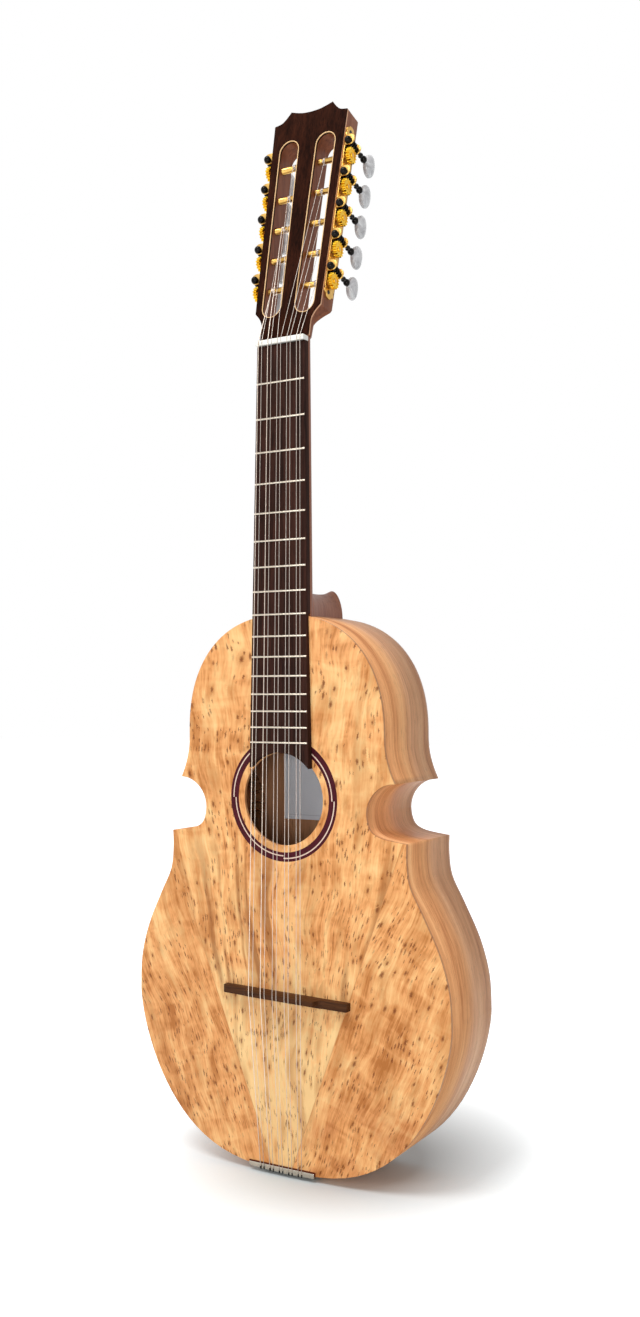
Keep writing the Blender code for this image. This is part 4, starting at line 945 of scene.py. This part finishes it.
def lathed(profile, steps=24):
    """A piece turned about its own z axis, from points of (radius, height) from the top down."""
    solid = bmesh.new()
    looped(solid, [(radius, 0, height) for radius, height in profile], closed=False)
    bmesh.ops.spin(solid, geom=[*solid.verts, *solid.edges], cent=(0, 0, 0), axis=(0, 0, 1), angle=2 * pi,
                   steps=steps, use_merge=True, use_duplicate=False)
    bmesh.ops.remove_doubles(solid, verts=solid.verts, dist=1e-6)
    return outward(solid)


pins = []
for way, name, index in courses:
    x = string_x(way, index, *at_tail)
    pins.append(lathed([(0, -3.0), (0.7, -2.95), (1.1, -2.6), (1.1, -2.2), (0.8, -2.0), (0.8, 0.5), (0, 0.5)], 16))
    pins[-1].transform(moved(x, pin_y, under_z(x)))
shown("tail_pins", merged(pins), dark_steel, "nickel")


def screw_head(radius, height, saw_width, place, turn):
    """A domed screw head about a place's z axis, with a sawn slot."""
    dome = lathed([(0, height), (radius * 0.5, height * 0.92), (radius * 0.85, height * 0.6), (radius, 0.0),
                   (radius, -0.3), (0, -0.3)], 20)
    screw = carved(dome, block(3 * radius, saw_width, height, (0, 0, height * 0.95)))
    screw.transform(place @ turned(turn, "Z"))
    return screw


for index, x in enumerate((tail_x - 14, tail_x + 14)):
    screw = screw_head(2.4, 0.9, 0.5, moved(x, 18, under_z(x)) @ turned(pi, "X"), 0.6 + index)
    shown(f"tail_screw_{index + 1}", screw, steel, "nickel")

# Machine plates: stamped brass plates with lobed ends, gilded and screwed to the headstock's sides. Two tabs
# stand out from the plate at each tuner and carry its worm.

gold = metal("gilded brass", (250, 206, 62), (196, 144, 20), 0.18)
pale_gold = metal("pale gilding", (226, 186, 108), (190, 144, 66), 0.32)
outwards = turned(pi / 2, "Y")
gear_standoff, worm_offset = 4.6, 9.0
span = 26.3 / cos(edge_lean)
plate_half, plate_thickness, tab_half = 6.7, 1.3, 4.4
low, high = -2 * span - 13, 2 * span + worm_offset + 16
lobes = through([(0.0, -0.05), (0.3, -0.02), (0.5, 0.1), (0.56, 0.26), (0.62, 0.3), (0.82, 0.36), (0.97, 0.52),
                 (0.98, 0.74), (0.86, 0.9), (0.9, 0.98), (1.0, 1.1)], 3)
right = [(plate_half * w, low + 7 * d) for w, d in lobes] + [(plate_half * w, high - 7 * d) for w, d in lobes[::-1]]
for way, name in sides:
    place = tuner_place(way, 2)
    outline = [(z + 1.3 * way, y) for z, y in right + [(-z, y) for z, y in right[-2:0:-1]]]
    holes = [ring_points(3.15, (0, (i - 2) * span), 24) for i in range(5)]
    stamped = slab([outline, *holes], 0.02, plate_thickness, sideways, top=0.25)
    for y in ((i - 2) * span + worm_offset for i in range(5)):
        for depth, raised in ((1.8, 1.7), (13.0, 0.0)):
            middle = y + raised
            tab = [(0.6, middle - tab_half), (gear_standoff, middle - tab_half)]
            tab += [(gear_standoff + tab_half * c, middle + tab_half * s)
                    for c, s in around(radians(-78), radians(78), 13)]
            tab += [(gear_standoff, middle + tab_half), (0.6, middle + tab_half)]
            out = way * (roller_depth - depth)
            near, far = sorted((out, out - way * 1.2))
            ear = slab([tab, ring_points(1.7, (gear_standoff, y), 20)], near, far, upright, top=0.2, bottom=0.2)
            stamped = fused(stamped, ear)
    stamped.transform(place)
    shown(f"machine_plate_{name}_gilded", stamped, pale_gold, "gold_plate", f"machine_plate_{name}")
    for number, (y, z) in enumerate(((low + 4.2, 0.0), (high - 4.6, 0.0), (-1.5 * span + 4, -4.6),
                                     (1.5 * span + 4, -4.6))):
        screw = screw_head(1.7, 0.7, 0.4, place @ moved(plate_thickness, y, way * z) @ outwards, 0.7 * number)
        shown(f"plate_screw_{name}_{number + 1}", screw, dark_steel, "black_metal")

# Tuners: each a gilded roller with its gear, turned by a blackened worm. The worm's shaft ends in a ball in front
# and in a collar and a pearl button behind.

black = metal("blackened brass", (38, 35, 33), (16, 15, 15), 0.22)
pearl, shader, place = new_finish("pearl plastic", 0.22, coat=0.6, coat_roughness=0.08)
swirl = ranged(noise(place, 90, 2, 0.5, 2.5), 0.3, 0.7)
dressed(shader, ramped(swirl, (184, 182, 184), (240, 240, 240), (0.5, (214, 212, 214))))
shader.inputs["Subsurface Weight"].default_value = 0.15
shader.inputs["Subsurface Radius"].default_value = (1.0, 1.0, 1.0)
shader.inputs["Subsurface Scale"].default_value = 0.002

teeth, pitch_radius, gear_half = 14, 5.8, 1.6


def gear_wheel():
    """A gear about its own z axis, with a gap between teeth at +Y and a dished outer face."""
    tip, root = pitch_radius + 0.5, pitch_radius - 0.8
    step = 2 * pi / teeth
    flank = [(root, -0.36), (root + 0.5, -0.27), (tip - 0.2, -0.16), (tip, -0.09)]
    flank += [(radius, -share) for radius, share in reversed(flank)]
    angles = [(radius, pi / 2 + step * (tooth + 0.5 + share)) for tooth in range(teeth) for radius, share in flank]
    wheel = slab([[(radius * cos(a), radius * sin(a)) for radius, a in angles]], -gear_half, gear_half, upright)
    dish = lathed([(0, gear_half + 1), (4.3, gear_half + 1), (4.1, gear_half - 0.4), (0, gear_half - 0.5)], 32)
    return carved(wheel, dish)


def threaded_worm():
    """A worm about its own z axis, which points out of the headstock's face, with its thread in the gear's gap."""
    front, ball_radius = roller_depth + 2.4, 3.0
    ball_low, shaft_end = roller_depth - 1.5, roller_depth - 31.7
    core_top, core_low = roller_depth - 3.3, roller_depth - 12.7
    collar = roller_depth - 26.0
    ball = [(ball_radius * s, front - ball_radius + ball_radius * c) for c, s in around(0, radians(140), 14)]
    profile = [(radius, z) for radius, z in ball if z > ball_low + 0.2]
    profile += [(1.5, ball_low), (1.5, core_top), (2.35, core_top - 0.4), (2.35, core_low + 0.4), (1.5, core_low),
                (1.5, collar + 6), (2.2, collar + 5.4), (2.2, collar + 4.6), (1.6, collar + 3.8)]
    profile += [(0.6 + 2.2 * s, collar + 2.6 * c) for c, s in around(radians(25), radians(157), 11)]
    profile += [(1.5, collar - 2.6), (1.5, shaft_end), (0, shaft_end)]
    lead = 2 * pi * pitch_radius / teeth
    turns, steps = 2.6, 62
    section = [(0, -2.2 - deep, high) for deep, high in ((0, -0.75), (1.05, -0.3), (1.05, 0.3), (0, 0.75))]
    start = turned(-pi * turns, "Z") @ moved(0, 0, -lead * turns / 2)
    thread = swept(section, start, (0, 0, 1), 2 * pi * turns, steps, lead * turns / steps)
    return fused(lathed(profile), thread)


def pearl_button():
    """An oval button with flattened cheeks and a full rim, and a short turned neck towards the shaft."""
    button = bmesh.new()
    bmesh.ops.create_uvsphere(button, u_segments=40, v_segments=24, radius=1.0)
    for vert in button.verts:
        x, y, z = vert.co
        vert.co = (copysign(abs(x) ** 0.75, x) * 3.7 * mm, copysign(abs(y) ** 0.92, y) * 9.3 * (1 - 0.1 * z) * mm,
                   copysign(abs(z) ** 0.95, z) * 6.5 * mm)
    button.transform(moved(0, 0, roller_depth - 35.0))
    top = roller_depth - 27.4
    stem = lathed([(0, top), (1.9, top), (2.1, top - 0.5), (1.9, top - 1.2), (2.4, top - 2.6), (0, top - 2.8)])
    return fused(button, stem)


def lane_x(index):
    """The middle of a string's windings on its roller."""
    return 20 - 1.5 * index - head_half(roller_s(index))


for way, name, index in courses:
    tag = f"{name}_{index + 1}"
    place = tuner_place(way, index)
    reach = roller_reach(index)
    lane = lane_x(index)
    wall = slot_width + pin_reach - reach
    head = gear_standoff + 2.2
    roller = lathed([(0, head), (1.55, head), (1.55, 2.7), (2.9, 2.7), (2.9, wall + 0.6), (2.4, wall),
                     (2.4, lane + 4.6), (2.2, lane + 4.0), (2.2, lane - 4.0), (2.4, lane - 4.6),
                     (2.4, 4.2 - reach), (2.3, 3.8 - reach), (1.8, 3.8 - reach), (1.8, -reach), (0, -reach)], 28)
    gear, worm, button = gear_wheel(), threaded_worm(), pearl_button()
    at_worm = place @ moved(gear_standoff, worm_offset, 0) @ turned(0 if way > 0 else pi, "Y")
    for solid, at in ((roller, place @ outwards), (gear, place @ moved(gear_standoff, 0, 0) @ outwards),
                      (worm, at_worm), (button, at_worm)):
        solid.transform(at)
    screw = screw_head(2.1, 1.0, 0.5, place @ moved(gear_standoff + 1.2, 0, 0) @ outwards, 0.5 + 0.9 * index)
    shown(f"roller_{tag}_turned", roller, pale_gold, "gold_plate", f"roller_{tag}", body=f"winder_{tag}", sharp=40)
    shown(f"gear_{tag}_cut", gear, gold, "gold_plate", f"gear_{tag}", body=f"winder_{tag}")
    shown(f"gear_screw_{tag}", screw, gold, "gold_plate", body=f"winder_{tag}")
    shown(f"worm_{tag}_threaded", worm, black, "black_metal", f"worm_{tag}", body=f"button_{tag}", sharp=40)
    shown(f"button_{tag}_pearl", button, pearl, "pearl_plastic", body=f"button_{tag}")

# Strings: ten steel wires in five pairs, each looped on a pin of the tail plate, over the bridge and the nut, and
# wound on its own roller. The thicker strings of two pairs are overspun with bronze.

plain_steel = metal("string steel", (214, 203, 194), (186, 174, 164), 0.38)
overspun, shader, place = new_finish("overspun bronze", 0.32, metallic=1.0)
wraps = added(place.tree, "TexWave", {"Vector": place, "Scale": 330, "Distortion": 0}, 1,
              wave_type="BANDS", bands_direction="Z")
dressed(shader, blended(wraps, (190, 172, 158), (236, 222, 208)), None, wraps, 0.05, 0.6)


def wire_along(points, radius):
    """A round wire along points, with closed ends."""
    curve = bpy.data.curves.new("wire", "CURVE")
    curve.dimensions = "3D"
    curve.bevel_depth = radius * mm
    curve.bevel_resolution = 3
    curve.use_fill_caps = True
    spline = curve.splines.new("POLY")
    spline.points.add(len(points) - 1)
    for point, co in zip(spline.points, points):
        point.co = (*[v * mm for v in co], 1)
    drawn = placed("wire", curve)
    bpy.context.view_layer.update()
    mesh = bpy.data.meshes.new_from_object(drawn.evaluated_get(bpy.context.evaluated_depsgraph_get()))
    solid = bmesh.new()
    solid.from_mesh(mesh)
    bpy.data.objects.remove(drawn)
    bpy.data.curves.remove(curve)
    bpy.data.meshes.remove(mesh)
    bmesh.ops.remove_doubles(solid, verts=solid.verts, dist=1e-6)
    return outward(solid)


lip_y = -tail_thickness - 0.3
turns, per_turn = 4, 24
sleeves = []
for way, name, index in courses:
    radius = string_radius(way, index)
    clear = 0.05 + radius
    x = string_x(way, index, *at_tail)
    low_z = under_z(x)
    eye = 0.85 + radius
    route = [(x + eye * s, pin_y - eye * c, low_z - clear) for c, s in around(radians(20), radians(340), 20)]
    route += [(x, 8, low_z - clear - 0.2), (x, 3, low_z - clear), (x, lip_y + 0.6, low_z - clear),
              (x, lip_y - 0.2, low_z - 0.8 * clear), (x, lip_y - 0.7 * clear, low_z - 0.3 * clear),
              (x, lip_y - clear, low_z + 0.6), (x, lip_y - clear, lip_top - 1)]
    sleeves.append(wire_along(route[-5:-1] + [(x, lip_y - clear, low_z + 1.9)], radius + 0.25))
    nut_point = (string_x(way, index, *at_nut), nut_top_y - radius, nut_thickness - 1.0)
    route += [(string_x(way, index, *at_bridge), -string_height, bridge_z), nut_point]
    coil_radius, pitch = 2.2 + clear, 2 * radius + 0.12
    winding = []
    for turn in (step / per_turn for step in range(turns * per_turn + 1)):
        a = 2 * pi * turn - 0.35
        on_roller = Vector(((lane_x(index) + pitch * (turns / 2 - turn)) * mm, coil_radius * mm * sin(a),
                            way * coil_radius * mm * cos(a)))
        winding.append([v / mm for v in tuner_place(way, index) @ on_roller])
    route.append(Vector(nut_point).lerp(Vector(winding[0]), 0.02))
    finish = overspun if radius == wound_radius else plain_steel
    shown(f"string_{name}_{index + 1}_wound", wire_along(route + winding, radius), finish, "string_steel",
          f"string_{name}_{index + 1}", sharp=60)
shown("string_sleeves", merged(sleeves), dark_steel, "nickel", sharp=60)

# Studio: a pale grey floor and a white surround, which gives much of the light. A broad lamp high in front throws a
# short soft shadow, and two in front light the ribs and the label. The floor has a painted glow, seen by the camera
# and in reflections, that turns it white away from the body and hides the shadows there.

ground = bmesh.new()
bmesh.ops.create_grid(ground, x_segments=1, y_segments=1, size=8)
ground.transform(Matrix.Translation((0, 0, cad_box[0].z - 0.2 * mm)))
floor = placed("floor", as_mesh(ground, "floor"))
white, shader, place = new_finish("studio white", 1.0, specular=0.0)
shader.inputs["Base Color"].default_value = (0.66, 0.7, 0.71, 1)
shader.inputs["Emission Color"].default_value = (1, 1, 1, 1)
floor.data.materials.append(white)


def background_seen(tree):
    """One for the rays that see the background itself, straight or by way of metal and glass."""
    rays = added(tree, "LightPath").socket.node.outputs
    seen = maths("MAXIMUM", Field(rays["Is Camera Ray"]), Field(rays["Is Glossy Ray"]))
    return maths("MAXIMUM", seen, Field(rays["Is Transmission Ray"]))


# Painted glow: from 0.07 m to 0.24 m out from the body the floor fades up to white, hiding the shadows beyond; nearer
# the body the darker grey floor and its shadow are left.
away = vectors("DISTANCE", vectors("MULTIPLY", place, (1, 1, 0)), (0.02, 0.04, 0), output="Value")
painted_glow = background_seen(place.tree) * ranged(away, 0.07, 0.24)
painted_glow.tree.links.new(painted_glow.socket, shader.inputs["Emission Strength"])

world = bpy.data.worlds.new("surround")
scene.world = world
world.use_nodes = True
surround = world.node_tree.nodes["Background"]
surround.inputs["Color"].default_value = (1, 1, 1, 1)
strength = ranged(background_seen(world.node_tree), 0, 1, 0.47, 1.0)
strength.tree.links.new(strength.socket, surround.inputs["Strength"])

for name, spot, target, size, power in (("high lamp", (-0.15, -1.15, 1.9), (0, 0, -0.7), 0.9, 35),
                                        ("left lamp", (-0.9, -2.4, 0.5), (0, 0, -0.4), 0.6, 7),
                                        ("right lamp", (1.1, -2.4, -0.3), (0, 0, -0.4), 0.7, 14)):
    lamp = placed(name, bpy.data.lights.new(name, "AREA"))
    lamp.data.shape = "SQUARE"
    lamp.data.size = size
    lamp.data.energy = power
    lamp.location = spot
    lamp.rotation_euler = (Vector(target) - Vector(spot)).to_track_quat("-Z", "Y").to_euler()
